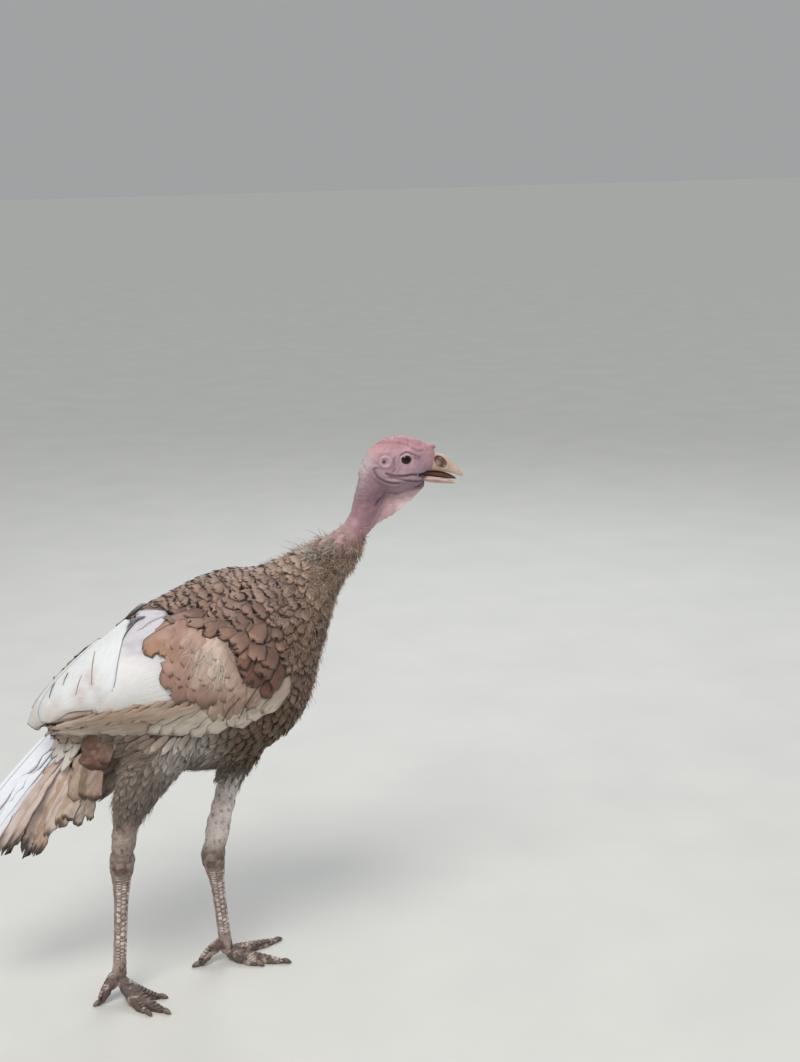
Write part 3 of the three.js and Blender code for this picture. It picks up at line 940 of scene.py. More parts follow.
def coat_form():
    """The body under the feathers' tips as one smooth closed mesh, in millimetres."""
    points, faces = fused("form", coat_bodies(), COAT_VOXEL)
    bm = new_bmesh(points, faces)
    smooth(bm, bm.verts, 4)
    bmesh.ops.recalc_face_normals(bm, faces=bm.faces)
    bmesh.ops.triangulate(bm, faces=bm.faces)
    bm.verts.index_update()
    return taken(bm)


form_points, form_triangles = coat_form()
form_tree = tree_of(form_points, form_triangles)


def on_form(points):
    """The nearest places on the coat's form, and its directions outwards there."""
    flat = points.reshape(-1, 3)
    near = np.empty_like(flat)
    out = np.empty_like(flat)
    for i, point in enumerate(flat):
        near[i], out[i] = form_tree.find_nearest(point)[:2]
    return near.reshape(points.shape), out.reshape(points.shape)


def moved_copies(values, **edges):
    """Nine copies of a grid, each moved by one step or none both ways. edges says how it goes on."""
    padded = np.pad(values, 1, **edges)
    rows, columns = values.shape
    return [padded[i:i + rows, j:j + columns] for i in range(3) for j in range(3)]


class Sheet:
    """The outer face of one wing as a smooth height over the upright plane along the bird."""

    STEP = 5.0  # between two heights
    LOW = np.array([-190.0, 250.0])  # the x and z of the first one
    COUNT = (76, 60)

    def __init__(self, side):
        self.sign = SIDES[side]
        shell = joined([body(wing_rows(side), 48, 60, tip=0.4), body(TRUNK, 48, 70, tip=0.3)])
        tree = tree_of(*shell)
        depth = np.full(self.COUNT, np.nan)
        for i, j in np.ndindex(self.COUNT):
            x, z = self.LOW + np.array([i, j]) * self.STEP
            hit = tree.ray_cast((x, self.sign * 300, z), (0, -self.sign, 0))[0]
            if hit is not None:
                depth[i, j] = hit[1] * self.sign
        known = ~np.isnan(depth)
        beside = [np.roll(known, step, axis) for step in (1, -1) for axis in (0, 1)]
        depth[known & ~np.all(beside, axis=0)] = np.nan
        while np.isnan(depth).any():
            around = np.stack(moved_copies(depth, constant_values=np.nan))
            found = (~np.isnan(around)).sum(0)
            mean = np.nansum(around, 0) / np.maximum(found, 1)
            depth = np.where(np.isnan(depth) & (found > 0), mean, depth)
        for _ in range(6):
            depth = sum(moved_copies(depth, mode="edge")) / 9
        self.depth = depth

    def read(self, x, z):
        t = (np.stack([x, z], -1) - self.LOW) / self.STEP
        t = np.clip(t, 0, np.array(self.COUNT) - 1.001)
        i, j = np.moveaxis(t.astype(int), -1, 0)
        f, g = np.moveaxis(t - t.astype(int), -1, 0)
        d = self.depth
        low = d[i, j] * (1 - f) + d[i + 1, j] * f
        high = d[i, j + 1] * (1 - f) + d[i + 1, j + 1] * f
        return self.sign * (low * (1 - g) + high * g)

    def drape(self, points):
        """Puts points on the wing's outer face, keeping their x and z, with its directions outwards."""
        x, _, z = np.moveaxis(points, -1, 0)
        y = self.read(x, z)
        step = 4.0
        slope_x = (self.read(x + step, z) - self.read(x - step, z)) / (2 * step)
        slope_z = (self.read(x, z + step) - self.read(x, z - step)) / (2 * step)
        out = unit(np.stack([-slope_x, np.ones_like(x), -slope_z], -1) * self.sign)
        return np.stack([x, y, z], -1), out


sheets = {side: Sheet(side) for side in SIDES}


# ---- feathers ----
def vane_grid(stations, across):
    """Faces and places of one feather's closed vane: u across from -1 to 1, v along from 0 to 1."""
    v, u = np.meshgrid(np.linspace(0, 1, stations), np.linspace(-1, 1, across), indexing="ij")
    top = np.arange(stations * across).reshape(stations, across)
    under = top.copy()
    inner = (slice(1, -1), slice(1, -1))
    under[inner] = stations * across + np.arange((stations - 2) * (across - 2)).reshape(stations - 2, -1)
    quads = []
    for i, j in itertools.product(range(stations - 1), range(across - 1)):
        quads.append((top[i, j], top[i + 1, j], top[i + 1, j + 1], top[i, j + 1]))
        quads.append((under[i, j], under[i, j + 1], under[i + 1, j + 1], under[i + 1, j]))
    return u, v, np.array(quads)


# Outlines of feathers: where the root narrows, where the tip's rounding starts, how long and how blunt
# it is, and the least half widths of its end and of the whole.
OUTLINES = {
    "flight": (-0.05, 0.16, 0.86, 0.145, 2.4, 0.02, 0),
    "square": (-0.1, 0.4, 0.82, 0.185, 2.6, 0.02, 0),
    "body": (-0.1, 0.45, 0.6, 0.41, 2.2, 0, 0.1),
}


def outline(v, kind):
    """Half the width of a feather along its length, 0 to 1."""
    if kind == "soft":
        return np.sqrt(np.maximum(np.sin(math.pi * np.clip(v, 0, 1) ** 0.85), 0.03)) * (1 - 0.25 * v)
    bare, full, start, length, blunt, end, least = OUTLINES[kind]
    tip = np.sqrt(np.maximum(1 - np.maximum((v - start) / length, 0) ** blunt, end))
    return np.maximum(ramp(bare, full, v) * tip, least)


class Coat:
    """Gathers the feathers of one piece, with their colours and maps, and makes it."""

    def __init__(self, name, slot, material, nodes, unwrap):
        self.name, self.slot, self.material = name, slot, material
        self.nodes, self.unwrap = nodes, unwrap
        self.points, self.quads, self.tints, self.rims, self.vane, self.bake = [], [], [], [], [], []
        self.count = 0

    def add(self, points, faces, tint, rim, on_vane, roots, patch=0.003):
        """Adds like feathers. points, tint, rim and on_vane have a row for each corner of each one."""
        number, per, _ = points.shape
        first = self.count + per * np.arange(number)[:, None, None]
        self.points.append(points.reshape(-1, 3))
        self.quads.append((faces + first).reshape(-1, faces.shape[1]))
        self.tints.append(np.broadcast_to(tint, (number, per, 4)).reshape(-1, 4))
        self.rims.append(np.broadcast_to(rim, (number, per, 4)).reshape(-1, 4))
        self.vane.append(np.broadcast_to(on_vane, (number, per, 2)).reshape(-1, 2))
        self.bake.append((self.unwrap(roots)[:, None] + (on_vane - 0.5) * patch).reshape(-1, 2))
        self.count += number * per

    def add_vanes(self, top, out, thick, grid, tint, rim, roots, patch=0.003):
        """Closed vanes. top and out: feathers x stations x across points. tint and rim: their colours."""
        u, v, quads = grid
        number = len(top)
        depth = out * (thick * (1 - u ** 2) * np.sin(math.pi * np.clip(v, 0.06, 0.94)) ** 0.5)[..., None]

        def closed(values, under):
            whole = np.broadcast_to(values, (number, *u.shape, values.shape[-1]))
            inner = np.broadcast_to(under, whole.shape)[:, 1:-1, 1:-1]
            size = values.shape[-1]
            return np.concatenate([whole.reshape(number, -1, size), inner.reshape(number, -1, size)], axis=1)

        on_vane = np.stack([u * 0.5 + 0.5, v], -1)
        self.add(
            closed(top, top - depth), quads, closed(tint, tint), closed(rim, rim),
            closed(on_vane, on_vane), roots, patch,
        )

    def make(self):
        points = np.concatenate(self.points)
        quads = np.concatenate(self.quads)
        mesh = bpy.data.meshes.new(self.name)
        mesh.vertices.add(len(points))
        mesh.vertices.foreach_set("co", (points * MM + SHIFT).ravel())
        mesh.loops.add(quads.size)
        mesh.loops.foreach_set("vertex_index", quads.ravel())
        mesh.polygons.add(len(quads))
        mesh.polygons.foreach_set("loop_start", np.arange(len(quads)) * quads.shape[1])
        mesh.update(calc_edges=True)
        paint(mesh, "tint", np.concatenate(self.tints))
        paint(mesh, "rim", np.concatenate(self.rims))
        for name, values in (("vane", self.vane), ("OFBake", self.bake)):
            layer = mesh.uv_layers.new(name=name)
            layer.data.foreach_set("uv", np.concatenate(values)[quads.ravel()].ravel())
        piece = new_piece(self.name, mesh, self.slot, self.material)
        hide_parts(*self.nodes)


def round_body(points):
    """An unwrap of the body: along the bird, and round the line through its middle."""
    x, y, z = np.moveaxis(np.asarray(points, float), -1, 0)
    share = np.clip((x + 170) / 450, 0, 1)
    middle = np.interp(x, np.array(TRUNK)[:, 0], np.array(TRUNK)[:, 2])
    turn = np.arctan2(y, z - middle) / (2 * math.pi) + 0.5
    return np.stack([0.02 + 0.96 * share, 0.02 + 0.96 * turn], -1)


# Each tract of the coat: its place, the way the feathers lie, their length, width and spacing, how far
# the tips lift, their colour, the colour of the rims and how strong that is.
TRACTS = [
    # place                lie                 length width gap lift  tint       rim       share
    ((200, 0, 516), (-0.75, 0, -0.66), 22, 10, 6, 3.2, "#b5a294", "#7a6555", 0.12),
    ((175, 0, 512), (-0.9, 0, -0.43), 26, 15, 7.5, 2.4, "#b19a8c", "#7a5f50", 0.15),
    ((140, 0, 513), (-1, 0, -0.12), 29, 21, 7.4, 1.5, "#9a8479", "#54392f", 0.5),
    ((90, 0, 507), (-1, 0, -0.12), 30, 22, 7.2, 1.3, "#957f74", "#4e352d", 0.6),
    ((30, 0, 484), (-1, 0, -0.33), 30, 22, 7.4, 1.3, "#8f786c", "#4a322a", 0.6),
    ((-40, 0, 434), (-0.85, 0, -0.62), 31, 21, 8, 1.1, "#755e52", "#3b2820", 0.5),
    ((-100, 0, 370), (-0.75, 0, -0.66), 34, 17.3, 10.4, 1.5, "#b9a796", "#7c6655", 0.28),
    ((150, 42, 482), (-0.8, 0, -0.6), 28, 20, 7.6, 1.4, "#907870", "#482f27", 0.55),
    ((100, 52, 478), (-0.86, 0, -0.5), 31, 23, 9, 1.4, "#90766c", "#452d25", 0.62),
    ((50, 50, 466), (-0.9, 0, -0.42), 32, 23, 9, 1.3, "#896f64", "#452d25", 0.62),
    ((0, 45, 458), (-0.88, 0, -0.48), 32, 22, 9, 1.1, "#71574b", "#35221b", 0.5),
    ((120, 72, 430), (-0.6, 0, -0.8), 34, 20, 11.5, 1.6, "#7b6055", "#38241d", 0.6),
    ((95, 84, 415), (-0.62, 0, -0.78), 36, 21, 12, 1.6, "#72564b", "#33201a", 0.5),
    ((150, 58, 430), (-0.42, 0, -0.9), 29, 15, 8.4, 1.8, "#81675a", "#38251d", 0.6),
    ((176, 38, 440), (-0.25, 0, -0.97), 26, 13, 7.6, 2, "#8b7362", "#463228", 0.35),
    ((192, 0, 440), (-0.2, 0, -0.98), 24, 12, 7, 2.2, "#97806f", "#4d3a30", 0.3),
    ((200, 0, 478), (-0.3, 0, -0.95), 22, 10, 6, 2.9, "#ae998a", "#6b5648", 0.2),
    ((160, 45, 390), (-0.3, 0, -0.95), 28, 14, 8.2, 1.9, "#866d5e", "#38261e", 0.55),
    ((178, 0, 380), (-0.35, 0, -0.94), 25, 12.5, 7.6, 2, "#866e5d", "#38271f", 0.5),
    ((140, 55, 345), (-0.5, 0, -0.86), 27, 14, 8.4, 1.8, "#725a48", "#2e2018", 0.45),
    ((155, 0, 330), (-0.6, 0, -0.8), 26, 13, 8, 1.9, "#6b543f", "#2e2118", 0.45),
    ((115, 45, 305), (-0.7, 0, -0.71), 27, 13, 8, 2, "#634c39", "#33251a", 0.4),
    ((110, 0, 288), (-0.92, 0, -0.38), 27, 11.2, 7.7, 2, "#604c3a", "#3b2c20", 0.3),
    ((40, 0, 254), (-1, 0, -0.05), 30, 11.9, 7.7, 2.6, "#a0968c", "#6a5c50", 0.16),
    ((40, 55, 290), (-0.8, 0, -0.6), 30, 11.9, 7.7, 2.4, "#a39990", "#64574c", 0.2),
    ((-20, 62, 320), (-0.9, 0, -0.45), 30, 11.9, 7.7, 2, "#928277", "#64574c", 0.15),
    ((-50, 0, 262), (-0.95, 0, -0.3), 32, 11.9, 7.7, 2.9, "#a0948a", "#6b5d52", 0.16),
    ((25, 72, 310), (-0.45, 0, -0.9), 29, 10.6, 7, 2, "#b6ada6", "#7b6f65", 0.12),
    ((-5, 62, 270), (-0.35, 0, -0.94), 27, 9.24, 6.3, 2, "#8a7c73", "#6a5d53", 0.12),
    ((-30, 58, 232), (-0.3, 0, -0.95), 24, 7.26, 5.6, 1.8, "#86776d", "#6b5d53", 0.12),
    ((-45, 45, 200), (-0.2, 0, -0.98), 17, 6.5, 5.6, 1.2, "#93827a", "#6b5d53", 0.12),
    ((100, 60, 270), (-0.35, 0, -0.94), 25, 9.24, 6.3, 2, "#6f5c49", "#4a3c30", 0.16),
    ((84, 32, 225), (-0.3, 0, -0.95), 20, 6.6, 5.6, 2, "#9b8f88", "#75685f", 0.12),
    ((-75, 34, 300), (-0.75, 0, -0.66), 41, 22, 12, 1.5, "#9d8678", "#6b503f", 0.3),
    ((-90, 32, 262), (-0.72, 0, -0.7), 43, 22, 12, 1.5, "#a4907f", "#6d5648", 0.3),
    ((-120, 26, 236), (-0.74, 0, -0.67), 43, 20, 12, 1.5, "#ac998b", "#6d594c", 0.3),
    ((-140, 0, 205), (-0.8, 0, -0.6), 38, 17, 12, 1.2, "#a3917f", "#6d5b4d", 0.2),
    ((-100, 0, 232), (-0.85, 0, -0.52), 40, 21.6, 13.5, 2, "#93806f", "#5c4a3d", 0.32),
]
tract_at = np.array([t[0] for t in TRACTS], float)
tract_lie = unit([t[1] for t in TRACTS])
tract_size = np.array([t[2:6] for t in TRACTS], float)
tract_tint = np.array([colour(t[6]) for t in TRACTS])
tract_rim = np.array([colour(t[7], t[8]) for t in TRACTS])


def tracts(points):
    """The lie, sizes and colours of the coat at the points, blended from the nearest tracts."""
    folded = np.stack([points[:, 0], np.abs(points[:, 1]), points[:, 2]], -1)
    gap = np.linalg.norm(folded[:, None] - tract_at, axis=-1)
    share = 1 / (gap + 4) ** 4
    share /= share.sum(1, keepdims=True)
    return share @ tract_lie, share @ tract_size, share @ tract_tint, share @ tract_rim


SCATTER_TRIES = 60000
SCATTER_CELL = 8.0  # the side of the boxes that near places are looked up in, in millimetres


def scatter(gap, wanted):
    """Evenly scattered places on the coat's form. gap is the space between them, or a rule for it."""
    corners = form_points[form_triangles]
    area = np.linalg.norm(np.cross(corners[:, 1] - corners[:, 0], corners[:, 2] - corners[:, 0]), axis=1)
    pick = rng.choice(len(area), SCATTER_TRIES, p=area / area.sum())
    a, b = rng.random((2, SCATTER_TRIES))
    flip = a + b > 1
    a, b = np.where(flip, 1 - a, a), np.where(flip, 1 - b, b)
    c = corners[pick]
    spots = c[:, 0] + (c[:, 1] - c[:, 0]) * a[:, None] + (c[:, 2] - c[:, 0]) * b[:, None]
    spots = spots[wanted(spots)]
    gaps = gap(spots) if callable(gap) else np.full(len(spots), gap)
    filled = {}
    kept = []
    for i, (spot, space) in enumerate(zip(spots.tolist(), gaps.tolist())):
        key = tuple(int(v // SCATTER_CELL) for v in spot)
        reach = int(space // SCATTER_CELL) + 1
        steps = itertools.product(range(-reach, reach + 1), repeat=3)
        cells = (tuple(k + step for k, step in zip(key, moves)) for moves in steps)
        others = itertools.chain.from_iterable(filled.get(each, ()) for each in cells)
        if all(sum((p - q) ** 2 for p, q in zip(spot, other)) >= space * space for other in others):
            filled.setdefault(key, []).append(spot)
            kept.append(i)
    return spots[kept]


def turned(direction, out, angle):
    """Directions turned about the outward ones by an angle each."""
    angle = angle[:, None]
    return direction * np.cos(angle) + np.cross(out, direction) * np.sin(angle)


def shaded(tint, number, spread):
    """Each feather's own shade, a little lighter or darker and warmer or colder than the rest."""
    shade = 1 + spread * rng.uniform(-1, 1, (number, 1))
    warm = 1 + 0.25 * spread * rng.uniform(-1, 1, (number, 1)) * (1, 0, -1)
    made = tint.copy()
    made[:, :3] = made[:, :3] * shade * warm
    return made


BODY_GRID = vane_grid(8, 7)


def lay(coat, spots, spread=0.2, kind="body", own=None, base=0.0, even_tone=0.0):
    """Lays small feathers with their middles at the spots, following the form and its lie."""
    number = len(spots)
    lie, size, tint, rim = tracts(spots)
    if own is not None:
        size, tint, rim = own
    near, out = on_form(spots)
    length = size[:, 0] * rng.uniform(0.8, 1.2, number)
    wide = size[:, 1] * rng.uniform(0.8, 1.15, number) * 0.5
    tip_lift = size[:, 3] * rng.uniform(0.5, 1.6, number)
    pointed = ramp(17, 9, size[:, 1]) * rng.uniform(0.3, 1, number)
    ahead = unit(lie - out * (lie * out).sum(-1, keepdims=True))
    ahead = turned(ahead, out, rng.normal(0, 0.17, number))
    u, v, _ = BODY_GRID
    stations = u.shape[0]
    centre = near - ahead * (0.45 * length)[:, None]
    lines, acrosses = [], []
    for _ in range(stations):
        centre, out = on_form(centre)
        ahead = unit(ahead - out * (ahead * out).sum(-1, keepdims=True))
        lines.append(centre)
        acrosses.append(np.cross(out, ahead))
        centre = centre + ahead * (length / (stations - 1))[:, None]
    line, across = np.stack(lines, 1), np.stack(acrosses, 1)
    half = lerp(outline(v, kind), outline(v, "soft"), pointed[:, None, None]) * wide[:, None, None]
    flat = line[:, :, None] + across[:, :, None] * (u * half)[..., None]
    ragged = rng.uniform(-0.2, 0.05, (number, 1, u.shape[1])) * ramp(0.65, 1, v) * length[:, None, None]
    flat = flat + unit(np.gradient(line, axis=1))[:, :, None] * ragged[..., None]
    on, out = on_form(flat)
    lift = -2.2 + (tip_lift[:, None, None] + 2.2) * v ** 1.1 + 0.9 * (1 - u ** 2) * v
    lift = lift + base + rng.uniform(-0.4, 0.4, number)[:, None, None]
    tint = shaded(tint, number, spread)[:, None, None] * np.ones((*u.shape, 1))
    # Each feather darkens towards its root and its side edges: painted shade where the feathers over it cover
    # it, partly the greyer down at its base. Fine grain mottles it too, and even_tone leaves both out. depth
    # here holds that painted shade and the mottling.
    depth = lerp(0.74, 1.08, ramp(0.45, 0.85, v)) * (1 - 0.2 * np.abs(u) ** 3)
    depth = depth * (1 + 0.16 * grain(flat, 6.5, 31) + 0.1 * grain(flat, 3, 32))
    tint[..., :3] *= lerp(depth, 1, even_tone)[..., None]
    rim = np.broadcast_to(rim[:, None, None], tint.shape)
    coat.add_vanes(on + out * lift[..., None], out, 0.35, BODY_GRID, tint, rim, near)


BARB_FACES = np.array([
    (2, 1, 0), (0, 1, 4), (0, 4, 3), (1, 2, 5), (1, 5, 4),
    (2, 0, 3), (2, 3, 5), (3, 4, 6), (4, 5, 6), (5, 3, 6),
])


def fluff(coat, spots, barbs, reach, thick, splay=0.5, stand=0.3, tones=None,
          ground=None, lie=None, spread=1.2):
    """Tufts of loose barbs at the spots: soft down that lies along the coat and stands off a little."""
    number = len(spots) * barbs
    own = np.repeat(rng.normal(0, 0.4 * splay, len(spots)), barbs)
    pick = np.repeat(rng.random(len(spots)), barbs)
    spots = np.repeat(spots, barbs, axis=0) + rng.normal(0, spread, (number, 3))
    near, out = (ground or on_form)(spots)
    natural, _, tint, rim = tracts(near)
    if lie is not None:
        natural = natural * 0 + lie
    ahead = unit(natural - out * (natural * out).sum(-1, keepdims=True))
    ahead = turned(ahead, out, own + rng.normal(0, splay, number))
    side = np.cross(out, ahead)
    length = reach * rng.uniform(0.5, 1.3, number)[:, None]
    lift = np.abs(rng.normal(stand, 0.5 * stand, number))[:, None]
    middle = near + ahead * 0.55 * length + out * (0.55 * lift * length + 0.6)
    end = near + ahead * length + out * (0.75 * lift * length + rng.uniform(-1, 1, (number, 1)))
    end = end + side * rng.normal(0, 0.12, (number, 1)) * length
    rings = []
    for spot, size in ((near - out * 0.8, thick), (middle, 0.75 * thick)):
        for a in (0, 1, 2):
            turn = a * 2 * math.pi / 3
            rings.append(spot + side * math.cos(turn) * size * 1.5 + out * math.sin(turn) * size)
    points = np.stack([*rings, end], 1)
    if tones is not None:
        tint = along(tones, pick)
    tint = shaded(tint, number, 0.16)
    # Each barb is darker at its root and a little lighter at its tip: painted shade deep in the tuft, partly
    # the greyer bases of real down.
    shares = np.array([0.7, 0.7, 0.7, 1, 1, 1, 1.12])[:, None] * (1, 1, 1, 0) + (0, 0, 0, 1)
    on_vane = np.array([(0, 0), (0.5, 0), (1, 0), (0, 0.5), (0.5, 0.5), (1, 0.5), (0.5, 1)], float)
    coat.add(points, BARB_FACES, tint[:, None] * shares, rim[:, None], on_vane, near, 0.002)


# ---- materials of the plumage ----
BARB_SLANT = 0.22  # how far a barb runs to the tip between the shaft and the edge, in vane lengths


def feather_material(name, barbs, rim_from, roughness=0.7, ribs=0.25, cloudy=0.13):
    """Feather keratin: a matt vane of fine slanting barbs either side of its shaft, with a tinted rim."""
    made, tree, shader, at, tint = painted_material(name)
    rim = add(tree, "Attribute", {"attribute_name": "rim"})
    vane = add(tree, "UVMap", {"uv_map": "vane"})
    split = add(tree, "SeparateXYZ", None, {0: vane})
    wander = add(tree, "TexNoise", None, {"Vector": at, "Scale": 170.0, "Detail": 2.0})
    centred = add(tree, "Math", TIMES_PLUS, {0: split, 1: 2.0, 2: -1.0})
    off = add(tree, "Math", {"operation": "ABSOLUTE"}, {0: centred})
    tip = add(tree, "MapRange", None, {"Value": split.outputs["Y"], "From Min": 0.45, "From Max": 1.0})
    edge = add(tree, "Math", {"operation": "MAXIMUM"}, {0: off, 1: tip})
    rough_edge = add(tree, "Math", TIMES_PLUS, {0: wander, 1: 0.22, 2: edge})
    band = add(tree, "MapRange", SMOOTH, {
        "Value": rough_edge, "From Min": rim_from + 0.11, "From Max": 1.08,
    })
    strength = add(tree, "Math", {"operation": "MULTIPLY"}, {0: band, 1: rim.outputs["Alpha"]})
    dressed = add(tree, "Mix", MIX, {"Factor": strength, "A": tint, "B": rim})
    slant = add(tree, "Math", TIMES_PLUS, {0: off, 1: -BARB_SLANT, 2: split.outputs["Y"]})
    shaken = add(tree, "Math", TIMES_PLUS, {0: wander, 1: 0.05, 2: slant})
    turns = add(tree, "Math", {"operation": "MULTIPLY"}, {0: shaken, 1: barbs * 2 * math.pi})
    wave = add(tree, "Math", {"operation": "SINE"}, {0: turns})
    own = add(tree, "VectorMath", {"operation": "SCALE"}, {0: at, "Scale": 70.0})
    spread = add(tree, "VectorMath", TIMES_PLUS, {0: vane, 1: (6.0, 0.9, 0.0), 2: own})
    clump = add(tree, "TexNoise", None, {"Vector": spread, "Scale": 2.2, "Detail": 3.0})
    tone = add(tree, "Math", TIMES_PLUS, {0: wave, 1: 0.5 * ribs, 2: clump})
    shade = add(tree, "MapRange", None, {
        "Value": tone, "From Min": 0.2, "From Max": 0.8,
        "To Min": 0.97 - cloudy, "To Max": 0.97 + cloudy,
    })
    barbed = add(tree, "Mix", MULTIPLY, {"Factor": 1.0, "A": dressed, "B": shade})
    shaft = add(tree, "MapRange", SMOOTH, {
        "Value": off, "From Min": 0.0, "From Max": 0.1, "To Min": 1.0, "To Max": 0.0,
    })
    height = add(tree, "Math", TIMES_PLUS, {0: wave, 1: ribs, 2: shaft})
    bump = add(tree, "Bump", None, {"Height": height, "Strength": 0.5, "Distance": 0.0004})
    connect(tree, shader, {
        "Base Color": barbed, "Normal": bump, "Roughness": roughness,
        "Sheen Weight": 0.12, "Sheen Roughness": 0.5, "Specular IOR Level": 0.3,
    })
    return made


def down_material():
    """Loose down barbs: soft and matt with a faint sheen, so each is its tint and little more."""
    made, tree, shader, at, tint = painted_material("soft_down")
    cloud = add(tree, "TexNoise", None, {"Vector": at, "Scale": 130.0, "Detail": 3.0})
    shade = add(tree, "MapRange", None, {"Value": cloud, "To Min": 0.8, "To Max": 1.16})
    dressed = add(tree, "Mix", MULTIPLY, {"Factor": 1.0, "A": tint, "B": shade})
    connect(tree, shader, {"Base Color": dressed, "Roughness": 0.9, "Sheen Weight": 0.2})
    return made


contour_vane = feather_material("contour_feather_vane", 22, 0.82, 0.75, 0.35, 0.24)
flight_vane = feather_material("flight_feather_vane", 110, 0.84, 0.6, 0.16, 0.045)
covert_vane = feather_material("covert_feather_vane", 44, 0.8, 0.72, 0.3, 0.13)
soft_down = down_material()


# ---- body feathers ----
# The part of the wing that shows below the shoulder and back feathers: x, z along its border.
WING_SHOWN = [
    (-141, 340), (-140, 352), (-118, 391), (-92, 416), (-65, 441), (-35, 460), (-5, 468), (31, 463),
    (47, 455), (63, 445), (76, 438), (90, 431), (90, 419), (86, 410), (94, 398), (104, 387), (117, 374),
    (130, 380), (147, 388), (150, 380), (106, 350), (87, 338), (46, 330), (2, 327), (-48, 335), (-107, 329),
]


def left_drop(x, z):
    """How much lower the upper part of the left wing is laid, in millimetres."""
    return np.interp(x, (-58, -2, 60), (20, 14, 4)) * ramp(400, 440, z)


def free_of_wings(spots):
    """Not on the bare part of a wing, and not so near that its tip would lie there."""
    lie, size, _, _ = tracts(spots)
    raised = spots.copy()
    raised[:, 2] += 0.8 * left_drop(spots[:, 0], spots[:, 2]) * (spots[:, 1] > 0)
    tips = raised + lie * (0.5 * size[:, :1])
    reach = np.interp(spots[:, 0], (-140, -60, 0), (36, 32, 22))
    out_wide = np.abs(spots[:, 1]) > reach + 0.5 * np.maximum(330 - spots[:, 2], 0)
    inner = on_form(spots)[1][:, 1] * np.sign(spots[:, 1]) < -0.4
    inner &= inside(WING_SHOWN, spots[:, 0] - 6, spots[:, 2] + 13)
    shown = inside(WING_SHOWN, raised[:, 0], raised[:, 2]) | inside(WING_SHOWN, tips[:, 0], tips[:, 2])
    return ~(shown & out_wide & ~inner)


def leg_share(spots):
    """0 on the body, 1 on the soft feathering of the flanks, the belly and the thighs."""
    x, _, z = spots.T
    flank = ramp(326, 314, z + 0.25 * x) * ramp(-74, -62, x) * ramp(98, 74, x + 0.3 * (z - 280))
    return np.maximum(flank, ramp(268, 256, z) * ramp(-72, -60, x))


def feathered(spots):
    """1 above the bare part of the legs, thinning out just above it."""
    x, y, z = spots.T
    low = np.where(y < 0, 236, 250)
    return np.maximum(ramp(low - 22, low + 14, z), ramp(-72, -80, x))


def neck_share(spots):
    """0 on the body, 1 on the neck from where only down grows."""
    return ramp(178, 206, spots[:, 0] + 0.35 * (spots[:, 2] - 490))


# Tips of the large shoulder feathers that end on the wing: x, z, length, width, tint.
SCAPULARS = [
    (118, 371, 40, 22, "#6d4b3f"), (104, 388, 38, 20, "#704e41"), (94, 399, 36, 20, "#7a594c"),
    (88, 410, 34, 19, "#7d5d50"), (92, 421, 34, 20, "#866759"), (92, 432, 34, 19, "#8f7063"),
    (78, 438, 33, 19, "#8c6f61"), (64, 445, 33, 19, "#8a6d5f"), (49, 455, 33, 19, "#8e7264"),
    (36, 467, 32, 18, "#7f6558"), (20, 472, 30, 18, "#7d6457"),
    (128, 384, 38, 22, "#714f43"), (112, 402, 38, 22, "#7b5b4e"),
    (106, 420, 36, 21, "#8a6b5e"), (110, 436, 36, 20, "#8f7164"), (122, 408, 36, 21, "#7e5f52"),
]


def lay_scapulars(coat, sign):
    x, z, length, wide = np.array([row[:4] for row in SCAPULARS], float).T
    off = np.interp(z, (425, 470), (82, 56))
    middle = np.stack([x + 0.36 * length, sign * off, z + 0.42 * length], -1)
    if sign > 0:
        middle[:, 2] -= left_drop(x, z)
    tint = np.array([colour(row[4]) for row in SCAPULARS])
    size = np.stack([length, wide, 0 * x, 2.6 + 0 * x], -1)
    lay(coat, middle, 0.1, "square", (size, tint, np.tile(colour("#33201a", 0.45), (len(x), 1))), 3.0)


def add_body_feathers():
    spots = scatter(lambda p: tracts(p)[1][:, 2], lambda p: free_of_wings(p) & (feathered(p) > 0.5))
    bare = neck_share(spots)
    spots = spots[(rng.random(len(spots)) > bare * 0.9) & (bare < 0.8)]
    x, _, z = spots.T
    soft = leg_share(spots) > rng.uniform(0.3, 0.7, len(spots))
    undertail = (x < -58) & (z < 330)
    chosen = {
        "back": (z >= 440) & ~soft,
        "shoulders": (z < 440) & (z >= 370) & ~soft,
        "breast": (z < 370) & (x > 60) & ~soft,
        "belly": (z < 370) & (x <= 60) & ~soft & ~undertail,
        "thighs": soft & ~undertail,
    }
    for name, here in chosen.items():
        slot = "thigh_feathers" if name == "thighs" else "body_feathers"
        coat = Coat("feathers_" + name, slot, contour_vane, [], round_body)
        kind = {"back": "square", "thighs": "soft"}.get(name, "body")
        lay(coat, spots[here], 0.08 if name == "thighs" else 0.2, kind, even_tone=1.0 * (name == "thighs"))
        if name == "shoulders":
            for sign in (-1, 1):
                lay_scapulars(coat, sign)
        coat.make()
    for name, low, high in (("back", 440, 600), ("front", 300, 440)):
        wisps = Coat("wisps_" + name, "body_feathers", soft_down, [], round_body)
        places = scatter(5.5, lambda p: free_of_wings(p) & (p[:, 2] > low) & (p[:, 2] < high))
        places = places[(leg_share(places) < 0.5) & (neck_share(places) < 0.9) & (places[:, 0] > -70)]
        fluff(wisps, places, 2, 8.5, 0.26, 0.35, 0.16)
        wisps.make()
    coat = Coat("feathers_undertail", "undertail_feathers", contour_vane, [], round_body)
    lay(coat, spots[undertail], 0.1, "soft", even_tone=0.9)
    coat.make()


add_body_feathers()


# ---- large feathers of the wings and the tail ----
LONG_GRID = vane_grid(22, 9)
COVERT_GRID = vane_grid(11, 7)
BROAD_GRID = vane_grid(40, 21)


